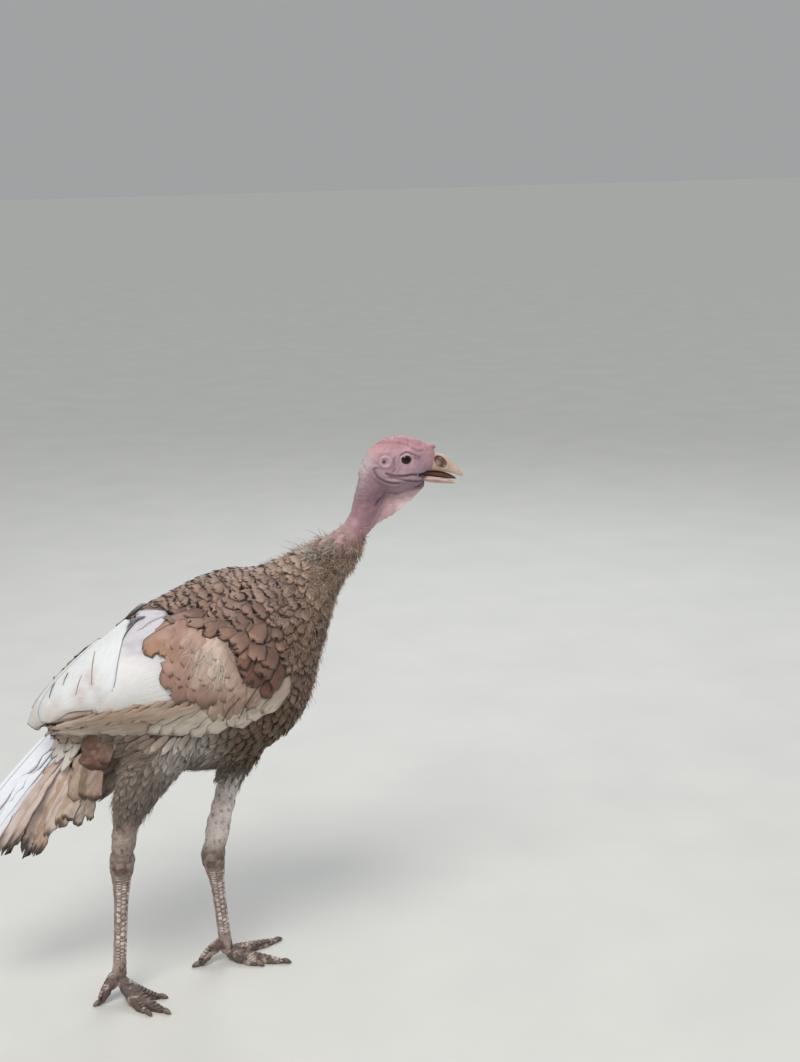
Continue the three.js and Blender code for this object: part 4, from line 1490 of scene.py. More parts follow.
def quills(grid, roots, tips, bow, wide, kind, fray, seed, ragged=0.0):
    """The flat shapes of a row of feathers: points x, z and how far out of true each edge is.

    bow is how far the middle line bulges to the bird's upper rear, and fray how ragged the edges are.
    """
    u, v, _ = grid
    number = len(roots)
    reach = tips - roots
    length = np.linalg.norm(reach, axis=-1)
    side = np.stack([reach[:, 1], -reach[:, 0]], -1) / length[:, None]
    side *= np.sign(side[:, 1:2])  # towards the top of the wing
    bowed = bow[:, None] * 4 * v[:, 0] * (1 - v[:, 0])
    line = roots[:, None] + reach[:, None] * v[:, :1] + side[:, None] * bowed[..., None]
    ahead = unit(np.gradient(line, axis=1))
    across = np.stack([ahead[..., 1], -ahead[..., 0]], -1)
    across *= np.sign(across[:, :1, 1:2])
    half = outline(v, kind) * wide[:, None, None] * 0.5
    index = np.arange(number)[:, None, None] * 5.7 + seed
    length = length[:, None, None]
    rough, notch = (
        grain(np.stack(np.broadcast_arrays(v * length / size, np.sign(u) * 3, index), -1), 1, seed_of_size)
        for size, seed_of_size in ((9, 41), (4, 42))
    )
    notch = ramp(0.45, 0.85, notch)
    edge = np.abs(u) ** 3
    half = half * (1 + edge * fray * (0.10 * rough - 0.35 * notch))
    torn = rng.uniform(-ragged, 0.2 * ragged, (number, 1, u.shape[1])) * ramp(0.7, 1, v) * length
    return line[:, :, None] + across[:, :, None] * (u * half)[..., None] + ahead[:, :, None] * torn[..., None]


def wing_row(coat, side, roots, tips, count, wide, paint_row, bow=0.0, layer=0.0, step=0.0, tilt=1.2,
             kind="flight", fray=1.0, grid=LONG_GRID, jitter=1.5, sink=3.0, ragged=0.0):
    """A row of feathers on one wing, from lines of roots and tips. Later ones lie further out by step."""
    shares = np.linspace(0, 1, count)
    root = tucked(along(roots, shares) + rng.normal(0, jitter, (count, 2)), side)
    tip = tucked(along(tips, shares) + rng.normal(0, jitter, (count, 2)), side)
    wides = along(wide if np.ndim(wide) else (wide, wide), shares) * rng.uniform(0.94, 1.06, count)
    bows = (np.array(bow) if np.ndim(bow) else np.full(count, bow)) * rng.uniform(0.85, 1.15, count)
    u, v, _ = grid
    flat = quills(grid, root, tip, bows, wides, kind, fray, rng.uniform(0, 99), ragged)
    spots = np.stack([flat[..., 0], np.zeros(flat.shape[:-1]), flat[..., 1]], -1)
    on, out = sheets[side].drape(spots)
    rise = layer + step * np.arange(count)[:, None, None] - sink * (1 - ramp(0, 0.4, v))
    rise = rise - tilt * u + 1.3 * (1 - u ** 2) - 0.6
    rise = rise + rng.uniform(-0.15, 0.15, (count, 1, 1))
    top = on + out * rise[..., None]
    tint, rim = paint_row(top, u, v, count)
    middle = on[:, u.shape[0] // 2, u.shape[1] // 2]
    coat.add_vanes(top, out, 0.6, grid, tint, rim, middle, coat.patch)


def broad_vane(coat, side, low, high, layer, paint_row):
    """One wide vane on a wing between its lower and its upper edge, both given from root to tip."""
    u, v, _ = BROAD_GRID
    low, high = (along(tucked(np.array(edge, float), side), v) for edge in (low, high))
    flat = lerp(low, high, (u[..., None] + 1) / 2)[None]
    on, out = sheets[side].drape(np.stack([flat[..., 0], 0 * flat[..., 0], flat[..., 1]], -1))
    rise = layer - 3 * (1 - ramp(0, 0.15, v)) + 0.8 * (1 - u ** 2) + 0.5 * grain(on, 26, 49)
    rise = rise - 0.8 * layer * ramp(0.25, 0.5, v) * ramp(-0.3, -1, u)
    top = on + out * rise[..., None]
    tint, rim = paint_row(top, u, v, 1)
    coat.add_vanes(top, out, 0.6, BROAD_GRID, tint, rim, on[:, 20, 10], 0.08)


def with_alpha(colours, share):
    made = np.array(colours, float)
    made[..., 3] = share
    return made


def rim_tint(tint, tone, share, strength):
    """Colours of the vanes' rims: the tint mixed with a tone, and in alpha how strongly they show."""
    return with_alpha(blend(tint, colour(tone), share), strength)


WHITE = "#dde1e5"
CREAM = "#d0c5b7"
TAN = "#b49b89"
CINNAMON = "#9a7a6d"
BROWN = "#664b3f"


def streaks(top, lie, size, seed):
    """Fine lines from 0 to 1 that run along lie, given as x and z, size apart."""
    x, _, z = np.moveaxis(top, -1, 0)
    lie = unit(lie)
    run, off = x * lie[0] + z * lie[1], x * lie[1] - z * lie[0]
    return ramp(0, 0.7, grain(np.stack([run / 9, off, 0 * run], -1), size, seed))


def white_vane(top, u, v, count):
    """The white rear feathers, smudged pinkish tan near their shafts and cream at their ends."""
    x, _, z = np.moveaxis(top, -1, 0)
    tint = even_tint(x.shape, WHITE)
    smudged = 0.6 + 0.5 * grain(top * (1, 1, 0.5), 4, 50)
    for spot_x, spot_z, size, share in (
        (-68, 404, 15, 0.75), (-82, 386, 13, 0.7), (-108, 375, 10, 0.6), (-58, 385, 12, 0.45),
    ):
        near = hump(np.hypot((x - spot_x) * 1.5, z - spot_z), size) * smudged
        tint = blend(tint, colour("#b5968a"), near * share)
    tint = painted(tint, (
        ("#cdbfb5", ramp(388, 360, z) * (0.6 + 0.3 * grain(top, 9, 51))),
        ("#c3cad2", streaks(top, (-0.3, -0.95), 2.2, 52) * 0.25),
    ))
    return tint, rim_tint(tint, TAN, 0.4, 0.2)


def shaded_vane(top, u, v, count):
    """White feathers under the rear ones: lilac-grey above, a painted shadow of the rear feathers lying over
    them, and pinkish cream below.
    """
    x, _, z = np.moveaxis(top, -1, 0)
    # high: the painted shadow that the rear feathers cast on these, lilac-grey, with darker streaks along the
    # barbs in it.
    high = ramp(408, 442, z + 0.35 * x)
    tint = painted(even_tint(x.shape, "#dfdedf"), (
        ("#bcb9c4", high * 0.75),
        ("#8f8b9a", streaks(top, (-0.95, -0.3), 1.9, 53) * high * 0.45),
        ("#cfc0b6", ramp(394, 364, z) * (0.65 + 0.3 * grain(top, 8, 54))),
    ))
    return tint, rim_tint(tint, TAN, 0.4, 0.25)


def band_vane(top, u, v, count):
    """Tan vanes of the wing's lower edge with paler cream lower borders."""
    x, _, z = np.moveaxis(top, -1, 0)
    patch = grain(top * (0.5, 1, 1), 12, 55)
    tint = painted(even_tint(x.shape, TAN), (
        (CREAM, ramp(0.45, -0.75, u + 0.5 * patch) * 0.9 + ramp(350, 334, z) * 0.6),
        ("#cbbab0", ramp(-66, -92, x) * ramp(338, 350, z) * 0.7),
        ("#7c6453", streaks(top, (-0.96, -0.28), 1.8, 56) * 0.4),
    ))
    return tint, rim_tint(tint, "#80695a", 0.6, 0.4)


def covert_tints(top, u, v, count):
    """Cinnamon coverts, paler pink-cream to the front and browner at the foot of the patch."""
    x, _, z = np.moveaxis(top, -1, 0)
    own = rng.uniform(-1, 1, (count, 1, 1))
    pale = 1.2 * hump(np.hypot((x - 64) / 1.2, (z - 424) / 1.6), 18) + 0.3 * ramp(30, 60, x)
    tint = painted(even_tint(x.shape, CINNAMON), (
        ("#b5978a", ramp(0, 0.9, grain(top, 9, 57) + 0.6 * own) * 0.7),
        ("#cdb7aa", pale * (0.6 + 0.3 * own)),
        ("#76574a", streaks(top, (-0.45, -0.9), 2.0, 58) * 0.3),
        (BROWN, ramp(396, 374, z - 3 * own) * ramp(0.45, 0.95, v) * 0.75),
        ("#a07c5f", hump(np.hypot((x - 2) / 2, z - 436), 9) * 0.8),
    ))
    # Each covert darkens towards its root: painted shade where the coverts over it overlap.
    tint[..., :3] *= lerp(0.8, 1.05, ramp(0.2, 0.6, v))[..., None]
    return tint, rim_tint(tint, BROWN, 0.4, 0.22)


def foot_vane(top, u, v, count):
    """Cream, finely streaked feathers at the foot of the covert patch and on the wrist."""
    x, _, z = np.moveaxis(top, -1, 0)
    tint = painted(even_tint(x.shape, "#d2c7b9"), (
        ("#a58b7a", ramp(352, 374, z) * 0.55),
        ("#8d7967", streaks(top, (-0.85, -0.5), 1.6, 59) * 0.55),
    ))
    tint[..., :3] *= (1 - 0.25 * ramp(0.4, 1, u))[..., None]
    return tint, rim_tint(tint, "#7d6756", 0.7, 0.35)


def pink_vane(top, u, v, count):
    """Pinkish-tan coverts in front of the cream ones."""
    tint = painted(even_tint(top.shape[:-1], "#a88c7d"), (
        ("#c2aa9c", ramp(-0.1, 0.6, grain(top, 7, 60)) * 0.6),
        (BROWN, streaks(top, (-0.6, -0.8), 1.8, 61) * 0.3),
    ))
    return tint, rim_tint(tint, BROWN, 0.6, 0.5)


def plain_vane(tone):
    """Colours of vanes that are all one tone but for their grain."""
    def paint_row(top, u, v, count):
        tint = even_tint(top.shape[:-1], tone)
        tint[..., :3] *= (1 + 0.2 * grain(top, 3, 62))[..., None]
        return tint, with_alpha(tint, 0)
    return paint_row


WISPS = 30  # loose tufts at the top of each wing's coverts


def wing_map(points):
    return np.stack([0.1 + (points[..., 0] + 190) / 450, 0.1 + (points[..., 2] - 300) / 250], -1)


def add_wing(side):
    node = "wing_" + side
    flight = Coat("flight_feathers_" + side, "flight_feathers", flight_vane, [node + "_flight"], wing_map)
    flight.patch = 0.05
    row = functools.partial(wing_row, flight, side)
    # lower edge: long tan and cream feathers, lowest first
    row([(96, 350), (72, 356), (40, 366)], [(-52, 332), (-88, 323), (-120, 330)], 8, 16, band_vane,
        bow=-5, layer=-4.6, tilt=-1.3, step=0.3, ragged=0.03)
    row([(78, 362), (52, 370), (24, 378)], [(-72, 343), (-98, 346), (-124, 352)], 7, 17, band_vane,
        bow=2, layer=-3.4, tilt=-1.5, step=0.3, fray=1.8, ragged=0.05)
    row([(56, 384), (10, 380), (-30, 373), (-58, 366)], [(0, 358), (-44, 356), (-84, 350), (-118, 345)],
        10, 12, band_vane, bow=-2, layer=1.2, tilt=-0.8, step=0.1, fray=2, ragged=0.16)
    # the white feathers of the middle
    row([(46, 382), (45, 408), (42, 434), (38, 458)], [(-66, 360), (-80, 366), (-80, 384), (-70, 408)],
        9, 30, shaded_vane, bow=5, layer=-1.8, tilt=-0.7, step=0.22, ragged=0.04)
    row([(30, 462), (20, 470)], [(-52, 368), (-66, 366)], 2, 44, shaded_vane, bow=7, layer=0.0,
        tilt=-0.8, step=0.3, ragged=0.03)
    # On the right wing only, thin grey-lilac strips along the front edge of the rear feathers: a painted
    # shadow in the crease and notch under that edge.
    if side == "right":
        row([(-4, 468), (-18, 463)], [(-25, 461), (-31, 443)], 4, [3.6, 2.4, 3.0, 2.0],
            plain_vane("#77727e"), kind="soft", bow=1.5, layer=1.2, step=0.1, sink=1.0, ragged=0.3,
            jitter=1.0)
    # the large rear feathers over all
    broad_vane(flight, side, [(-46, 438), (-70, 410), (-98, 380), (-118, 356), (-134, 344)],
               [(-58, 446), (-92, 418), (-118, 393), (-133, 373), (-142, 352)], 0.6, white_vane)
    low = [(-20, 465), (-30, 445), (-37, 422), (-44, 396), (-56, 376), (-76, 371), (-94, 367), (-112, 354)]
    high = [(-27, 467), (-48, 451), (-70, 434), (-90, 417), (-107, 401), (-121, 384), (-128, 368),
            (-126, 354)]
    broad_vane(flight, side, low, high, 2.2, white_vane)
    row([(-61, 432), (-76, 408), (-108, 400), (-92, 410)],
        [(-66, 399), (-84, 387), (-115, 382), (-98, 396)], 4, [1.3, 1.5, 1.1, 0.8],
        plain_vane("#9a857a"), kind="soft", bow=0.8, layer=3.4, jitter=0, sink=0.3, tilt=0)
    flight.make()

    coverts = Coat("covert_feathers_" + side, "wing_coverts", covert_vane, [node + "_coverts"], wing_map)
    coverts.patch = 0.02
    row = functools.partial(wing_row, coverts, side, grid=COVERT_GRID, tilt=-0.8, sink=5.0)
    row([(58, 464), (76, 456), (96, 444), (112, 426), (120, 402)],
        [(34, 436), (46, 420), (64, 406), (84, 392), (98, 380)], 9, 30, covert_tints, layer=0.4,
        kind="body", sink=0.5)
    row([(58, 386), (74, 382), (92, 380), (108, 378)], [(-12, 335), (10, 330), (42, 332), (78, 342)], 6,
        [27, 23, 20], foot_vane, kind="flight", bow=-4, layer=-0.8, step=0.5, ragged=0.04)
    row([(88, 402), (102, 404), (116, 402)], [(66, 352), (86, 350), (108, 359)], 4, 23, pink_vane,
        kind="square", bow=3, layer=1.0, step=0.4, ragged=0.08)
    row([(113, 390), (92, 380)], [(92, 357), (72, 352)], 2, 1.6, plain_vane("#584238"), kind="soft",
        bow=2, layer=3.8, jitter=0, sink=0.4)
    row([(128, 376), (138, 384), (150, 391)], [(87, 342), (100, 346), (115, 354)], 3, 22, foot_vane,
        kind="flight", bow=-2, layer=1.8, step=0.45, ragged=0.07, sink=3)
    for roots, tips, layer in (
        ([(44, 414), (64, 410), (80, 408), (98, 402)], [(26, 378), (50, 371), (68, 375), (92, 371)], 1.4),
        ([(38, 432), (58, 428), (76, 424), (96, 416)], [(17, 396), (38, 391), (58, 391), (84, 389)], 1.7),
        ([(36, 444), (54, 440), (72, 434), (94, 426)], [(16, 410), (34, 405), (55, 405), (80, 403)], 2.0),
        ([(38, 448), (54, 446), (70, 442), (90, 434)], [(8, 428), (30, 419), (52, 419), (74, 414)], 2.3),
        ([(48, 456), (60, 452), (72, 446), (88, 440)], [(10, 440), (28, 436), (46, 430), (66, 424)], 2.5),
    ):
        row(roots, tips, 6, [27, 25, 23], covert_tints, bow=4, layer=layer, kind="body", fray=1.6,
            ragged=0.1, jitter=1.8)
    row([(46, 457), (50, 466)], [(-9, 434), (4, 446)], 2, [19, 14], covert_tints, kind="flight", bow=2,
        layer=3.0, step=-0.6, jitter=0.5, ragged=0.05)
    coverts.make()
    wisps = Coat("covert_wisps_" + side, "wing_coverts", soft_down, [], wing_map)
    x = rng.uniform(42, 80, WISPS)
    z = 448 - 0.4 * (x - 40) - rng.uniform(0, 30, WISPS)
    spots = np.stack([x, 0 * x, z], -1)
    tones = np.array([colour("#cdb9ab"), colour("#efe5da"), colour("#dccabd")])

    def ground(points):
        near, out = sheets[side].drape(points)
        return near + out * 3.2, out

    fluff(wisps, spots, 5, 19, 0.17, 0.25, 0.03, tones, ground, unit((-0.45, 0, -0.9)), spread=2.6)
    wisps.make()


def roof(reach, arc):
    """A place on the tail's roof: reach along its ridge and arc down its side, in millimetres."""
    wide = np.linspace(0, 90, 400)
    fall = np.hypot(ROOF_SLOPE * wide, ROOF_RIDGE)
    slant = np.concatenate([[0], np.cumsum(np.hypot(np.diff(wide), np.diff(fall)))])
    y = np.sign(arc) * np.interp(np.abs(arc), slant, wide)
    line = along(np.array(TAIL)[:, :3], np.linspace(0, 1, 60))
    run = np.concatenate([[0], np.cumsum(np.linalg.norm(np.diff(line, axis=0), axis=1))])
    x = np.interp(reach, run, line[:, 0])
    z = np.interp(reach, run, line[:, 2])
    beyond = reach - run[-1]
    last = unit(line[-1] - line[-4])
    x = np.where(beyond > 0, x + last[0] * beyond, x)
    z = np.where(beyond > 0, z + last[2] * beyond, z)
    x = np.where(reach < 0, x - reach * 0.75, x)
    z = np.where(reach < 0, z - reach * 0.62, z)
    return np.stack([x, y, z + 9 - np.hypot(ROOF_SLOPE * y, ROOF_RIDGE) + ROOF_RIDGE], -1)


def on_roof(reach, arc):
    step = 1.0
    here = roof(reach, arc)
    out = unit(np.cross(roof(reach, arc + step) - here, roof(reach + step, arc) - here))
    out *= np.sign(out[..., 2:3] + 1e-9)
    return here, out


def tail_map(points):
    return np.stack([0.1 + (points[..., 0] + 260) / 300, 0.5 + points[..., 1] / 120], -1)


TAIL_PAIRS = 6
SHAFT_WIDTH = 1.5


def add_tail():
    coat = Coat("tail_feathers_all", "tail_feathers", flight_vane, ["tail"], tail_map)
    u, v, _ = LONG_GRID
    for rank in range(TAIL_PAIRS - 1, -1, -1):
        for sign in (-1, 1):
            share = rank / (TAIL_PAIRS - 1)
            root = np.array([[-4.0, sign * (4 + 18 * share)]])
            tip = np.array([[lerp(221, 136, share ** 1.2), sign * (7 + 68 * share ** 0.95)]])
            tip += rng.normal(0, 2, (1, 2))
            seed = rng.uniform(0, 99)
            for width, ragged in ((lerp(40, 33, share), 0.03 + 0.05 * share), (SHAFT_WIDTH, 0)):
                flat = quills(
                    LONG_GRID, root, tip, np.zeros(1), np.full(1, width), "flight", 1.0, seed, ragged,
                )
                here, out = on_roof(flat[..., 0], flat[..., 1])
                low = u * np.sign(flat[:, -1:, -1:, 1] - flat[:, -1:, :1, 1]) * sign
                rise = -0.5 * rank + 0.5 * low + 1.1 * (1 - u ** 2) + 0.3 * sign
                if width == SHAFT_WIDTH:
                    rise = rise - 0.5 * low + 0.35
                top = here + out * rise[..., None]
                brown = ramp(0.62, 0.9, share + 0.12 * grain(top, 20, 63) + 0.14 * low)
                dark = ramp(0.82, 0.93, v + 0.03 * grain(top, 5, 66)) * ramp(0.3, 0.6, share)
                tint = painted(even_tint(flat.shape[:-1], "#e6eaf4"), (
                    ("#bfa496", brown * 0.85),
                    ("#e6dad6", brown * streaks(top, (-0.7, -0.7), 3.5, 64) * 0.6),
                    ("#8f7768", brown * ramp(0.1, 0.8, grain(top * (1, 1, 1.6), 9, 65)) * 0.5),
                    ("#332a24", dark * 0.85),
                ))
                if width == SHAFT_WIDTH:
                    tint = blend(tint, colour("#5b5250"), 0.75 * ramp(0.1, 0.3, v) * ramp(1, 0.9, v))
                rim = rim_tint(tint, "#8c7466", 0.5, 0.25)
                coat.add_vanes(top, out, 0.5, LONG_GRID, tint, rim, here[:, 11, 4], 0.05)
    coat.make()
    cover = Coat("tail_covert_feathers", "tail_feathers", covert_vane, [], tail_map)
    u, v, _ = COVERT_GRID
    for rank, reach in enumerate((52, 34, 16, -2)):
        count = 11 - rank
        arcs = np.linspace(-1, 1, count) * (50 - 6 * rank)
        roots = np.stack([np.full(count, reach - 52.0), arcs * 0.7], -1) + rng.normal(0, 2, (count, 2))
        tips = np.stack([reach - 0.006 * arcs ** 2, arcs * 1.05], -1) + rng.normal(0, 3, (count, 2))
        wide = np.full(count, 22.0)
        flat = quills(COVERT_GRID, roots, tips, np.zeros(count), wide, "soft", 1.2, rank * 9.0, 0.06)
        here, out = on_roof(flat[..., 0], flat[..., 1])
        rise = 1.4 + 0.7 * rank + 1.2 * (1 - u ** 2) + 1.5 * v - 2.5
        top = here + out * rise[..., None]
        tint = painted(even_tint(flat.shape[:-1], "#d3cdc6"), (
            ("#ad9785", ramp(-0.2, 0.7, grain(top, 14, 67)) * 0.8),
        ))
        cover.add_vanes(top, out, 0.5, COVERT_GRID, tint, with_alpha(tint * 0.7, 0.3), here[:, 5, 3], 0.01)
    cover.make()
    add_long_undertail()


# The long feathers under the tail: x, z of root and tip, width, tint, tint of the tip, how far out.
UNDERTAIL_LONG = [
    (-106, 303, -183, 186, 19, "#cbab98", "#6a5443", 0.0),
    (-100, 297, -162, 183, 19, "#d8c3ba", "#2f2721", 0.8),
    (-96, 291, -150, 182, 19, "#bfa18e", "#332a24", 1.6),
    (-93, 283, -134, 206, 18, "#d6c3bb", "#8b7567", 2.4),
    (-91, 274, -119, 220, 18, "#bea391", "#6a5647", 3.0),
    (-89, 262, -110, 228, 17, "#c7b2a4", "#4b3e35", 3.6),
    (-84, 260, -97, 219, 12, "#94877c", "#4d4239", 2.0),
    (-76, 262, -83, 226, 12, "#9c8f84", "#574b41", 2.0),
    (-84, 308, -98, 250, 18, "#b59d8c", "#8b6f5e", 4.2),
    (-78, 304, -87, 254, 15, "#85725f", "#3d2a20", 5.0),
    (-68, 306, -75, 252, 21, "#a1877a", "#4a2e24", 5.8),
    (-59, 340, -72, 289, 36, "#6c4c40", "#3d241b", 6.8),
    (-45, 340, -63, 296, 19, "#7d5d52", "#4f342a", 7.6),
    (-39, 346, -48, 312, 5, "#b9a698", "#8d7868", 9.0),
]


def add_long_undertail():
    coat = Coat("undertail_long_feathers", "undertail_feathers", flight_vane, [], tail_map)
    u, v, _ = LONG_GRID
    for sign in (-1, 1):
        for rank, (x0, z0, x1, z1, wide, tone, end, off) in enumerate(UNDERTAIL_LONG):
            ends = np.array([[x0, z0]]), np.array([[x1, z1]])
            ragged = 0.14 if rank < 8 else 0.05
            fray = 1.5 if rank < 8 else 1.0
            kind = "flight" if rank < 9 else "square"
            flat = quills(LONG_GRID, *ends, np.ones(1), np.array([wide]), kind, fray, 7.0 * rank, ragged)
            near = np.interp(flat[..., 0], (-185, -148, -104, -66), (9, 17, 25, 33))
            y = near + off + 1.2 * (1 - u ** 2) - 5 * ramp(0.2, 0, v)
            top = np.stack([flat[..., 0], sign * y, flat[..., 1]], -1)
            out = np.broadcast_to(unit((-0.15, sign, 0.1)), top.shape)
            tint = even_tint(flat.shape[:-1], tone)
            tint[..., :3] *= (1 + 0.12 * grain(top, 6, 68))[..., None]
            tint = painted(tint, (
                ("#8a7263", streaks(top, (-0.55, -0.83), 2.0, 69) * 0.5),
                ("#e2d5cc", streaks(top, (-0.55, -0.83), 1.5, 72) * (0.4 if rank < 8 else 0.18)),
                (end, ramp(0.8, 0.95, v + 0.05 * grain(top, 4, 70)) * 0.9),
            ))
            rim = rim_tint(tint, "#6b5547", 0.6, 0.5)
            coat.add_vanes(top, out, 0.5, LONG_GRID, tint, rim, top[:, 11, 4], 0.03)
    coat.make()


for side in SIDES:
    add_wing(side)
add_tail()


# ---- bill, mouth, eyes ----
UPPER_BILL = [
    (311, 0, 608, 4, 2, 5), (322, 0, 609, 13, 4, 11.6), (332, 0, 609, 15.5, 4.8, 10.2),
    (344, 0, 608, 12.4, 6, 8.8), (356, 0, 603.5, 6.8, 5, 6.4), (365.5, 0, 597, 4.2, 4, 3.6),
    (370, 0, 591.5, 2.0, 2, 1.5),
]
LOWER_BILL = [
    (309, 0, 598, 3, 3, 6), (325, 0, 596, 3.6, 5, 10.5), (340, 0, 593.3, 3, 4.5, 8.4),
    (354, 0, 590, 2.4, 3.2, 5.6), (368, 0, 586.8, 1.4, 1.5, 2.2),
]
THROAT = [
    (306, 0, 603, 1, 1, 3), (322, 0, 602, 3.4, 3.4, 4.6), (338, 0, 600, 4, 4, 4.4),
    (352, 0, 596, 3.4, 3.4, 3), (361, 0, 593, 2, 2, 1.4),
]
TONGUE = [(318, 0, 599.6, 1, 1, 3), (332, 0, 598.8, 1.5, 1.5, 3.6), (346, 0, 596.4, 1, 1, 2.4)]
UPPER_EDGE = [(312, 604), (322, 605), (334, 604.2), (345, 602), (356, 598.4), (366, 593.5)]
LOWER_EDGE = [(312, 600.6), (323, 598.8), (339, 596.2), (354, 592.4), (367, 587)]
NOSTRIL_AT = (341, 614.8)
FLAP_AT = (338.6, 613.2)


def nostril_depth(x, z):
    """The oval pit of the nostril, with the flap of horn that half closes it."""
    pit = np.hypot((x - NOSTRIL_AT[0]) / 7.6, (z - NOSTRIL_AT[1] + 0.35 * (x - NOSTRIL_AT[0])) / 6.6)
    flap = np.hypot((x - FLAP_AT[0]) / 4.6, (z - FLAP_AT[1] + 0.2 * (x - FLAP_AT[0])) / 4.4)
    depth = -3.0 * ramp(1.02, 0.7, pit) + 3.2 * ramp(1.05, 0.35, flap) + 0.5 * hump(pit - 1.12, 0.12)
    return depth, pit, flap


def add_bill(name, rows, node, edge, above):
    points, faces = body(rows, 72, 84)
    x, y, z = points.T
    limit = np.interp(x, *np.array(edge).T)
    hollow = 2.4 * ramp(7, 0, np.abs(y))
    if above:
        low = limit + hollow
        points[:, 2] = np.where(z < low, low + 0.12 * (z - low), z)
        pit, _, _ = nostril_depth(x, z)
        points[:, 1] += np.sign(y) * pit * ramp(3.5, 6, np.abs(y))
        points[:, 2] += 0.9 * hump(y, 1.6) * ramp(600, 606, z) * ramp(312, 336, x)
    else:
        high = limit - hollow
        points[:, 2] = np.where(z > high, high + 0.12 * (z - high), z)
    growth = grain(points * (1, 0.4, 1), 3.4, 71)
    points[:, 1] *= 1 + 0.012 * growth
    mesh = new_mesh(name, points, faces)
    x, y, z = points.T
    near_edge = np.abs(points[:, 2] - np.interp(x, *np.array(edge).T))
    tint = painted(even_tint(points.shape[:1], "#c3a797"), (
        ("#b48f86", ramp(346, 332, x) * 0.8),
        ("#d8c6b4", ramp(350, 362, x) * 0.7),
        ("#9a8a7c", ramp(360, 369, x) * ramp(-0.3, 0.5, growth) * 0.8),
        ("#e3d8ca", hump(near_edge, 1.3) * 0.7),
        ("#7a6152", ramp(0.1, 0.7, grain(points * (0.4, 1, 1), 2.2, 72)) * 0.25),
    ))
    if above:
        _, pit, flap = nostril_depth(x, z)
        wide = np.abs(y) > 3
        tint = painted(tint, (
            ("#4a322c", wide * ramp(1.12, 0.9, pit) * 0.9),
            ("#8a6a62", wide * ramp(1.05, 0.5, flap) * 0.9),
        ))
    paint(mesh, "tint", tint)
    piece = new_piece(name, mesh, "bill_horn", horn)
    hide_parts(node)


def horn_material(name, roughness, scale):
    """Living keratin horn: layered along its growth, satin, with slight streaks."""
    made, tree, shader, at, tint = painted_material(name)
    stretched = add(tree, "Mapping", None, {"Vector": at, "Scale": (0.35, 1.0, 1.0)})
    streaks = add(tree, "TexNoise", None, {"Vector": stretched, "Scale": scale, "Detail": 4.0})
    shade = add(tree, "MapRange", None, {"Value": streaks, "To Min": 0.78, "To Max": 1.15})
    dressed = add(tree, "Mix", MULTIPLY, {"Factor": 1.0, "A": tint, "B": shade})
    rough = add(tree, "MapRange", None, {
        "Value": streaks, "To Min": roughness - 0.08, "To Max": roughness + 0.12,
    })
    bump = add(tree, "Bump", None, {"Height": streaks, "Strength": 0.3, "Distance": 0.0004})
    connect(tree, shader, {
        "Base Color": dressed, "Roughness": rough,
        "Normal": bump, "IOR": 1.54, "Subsurface Weight": 0.08,
        "Subsurface Scale": 0.002,
    })
    return made


def eye_material():
    """A wet eye: a near-black pupil in a dark brown iris under a clear gloss."""
    made, tree, shader, at = new_material("dark_wet_eye")
    centre = place(EYE_AT)
    moved = add(tree, "Mapping", None, {
        "Vector": at, "Location": (-centre[0], 0, -centre[2]), "Scale": (1, 0, 1),
    })
    off = add(tree, "VectorMath", {"operation": "LENGTH"}, {0: moved})
    share = add(tree, "MapRange", None, {"Value": off, "From Max": EYE_RADIUS * MM})
    iris = add(tree, "ValToRGB", None, {"Fac": share})
    stops = iris.color_ramp.elements
    stops[0].position, stops[1].position = 0.36, 0.46
    stops[0].color, stops[1].color = colour("#0b0706"), colour("#241812")
    for position, tone in ((0.62, "#2f2019"), (0.74, "#120c0a")):
        stops.new(position).color = colour(tone)
    fibres = add(tree, "TexNoise", None, {"Vector": at, "Scale": 900.0, "Detail": 2.0})
    shade = add(tree, "MapRange", None, {"Value": fibres, "To Min": 0.7, "To Max": 1.3})
    dressed = add(tree, "Mix", MULTIPLY, {"Factor": 1.0, "A": iris, "B": shade})
    connect(tree, shader, {"Base Color": dressed, "Roughness": 0.07, "IOR": 1.4})
    return made


def mouth_material():
    """The moist dark red lining of the mouth."""
    made, tree, shader, at = new_material("moist_mouth_lining")
    cloud = add(tree, "TexNoise", None, {"Vector": at, "Scale": 300.0, "Detail": 3.0})
    mix = add(tree, "Mix", MIX, {"Factor": cloud, "A": colour("#3a1a17"), "B": colour("#7d4a41")})
    bump = add(tree, "Bump", None, {"Height": cloud, "Strength": 0.4, "Distance": 0.0005})
    connect(tree, shader, {"Base Color": mix, "Normal": bump, "Roughness": 0.35})
    return made


horn = horn_material("bill_horn", 0.42, 300.0)
claw_horn = horn_material("claw_horn", 0.5, 260.0)


def add_mouth():
    mesh = new_mesh("mouth_lining", *joined([body(THROAT, 20, 20), body(TONGUE, 16, 16)]))
    new_piece("mouth_lining", mesh, "bare_head", mouth_material())


def add_eyes():
    material = eye_material()
    for side, sign in SIDES.items():
        bm = bmesh.new()
        bmesh.ops.create_uvsphere(bm, u_segments=48, v_segments=32, radius=EYE_RADIUS * MM)
        bmesh.ops.rotate(bm, verts=bm.verts, matrix=Matrix.Rotation(math.pi / 2, 3, "X"))
        bmesh.ops.translate(bm, verts=bm.verts, vec=place(EYE_AT * (1, sign, 1)))
        mesh = bpy.data.meshes.new("eyeball_" + side)
        bm.to_mesh(mesh)
        bm.free()
        piece = new_piece("eyeball_" + side, mesh, "eye", material)
        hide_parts("eye_" + side)


add_bill("bill_upper_horn", UPPER_BILL, "bill_upper", UPPER_EDGE, True)
add_bill("bill_lower_horn", LOWER_BILL, "bill_lower", LOWER_EDGE, False)
add_mouth()
add_eyes()


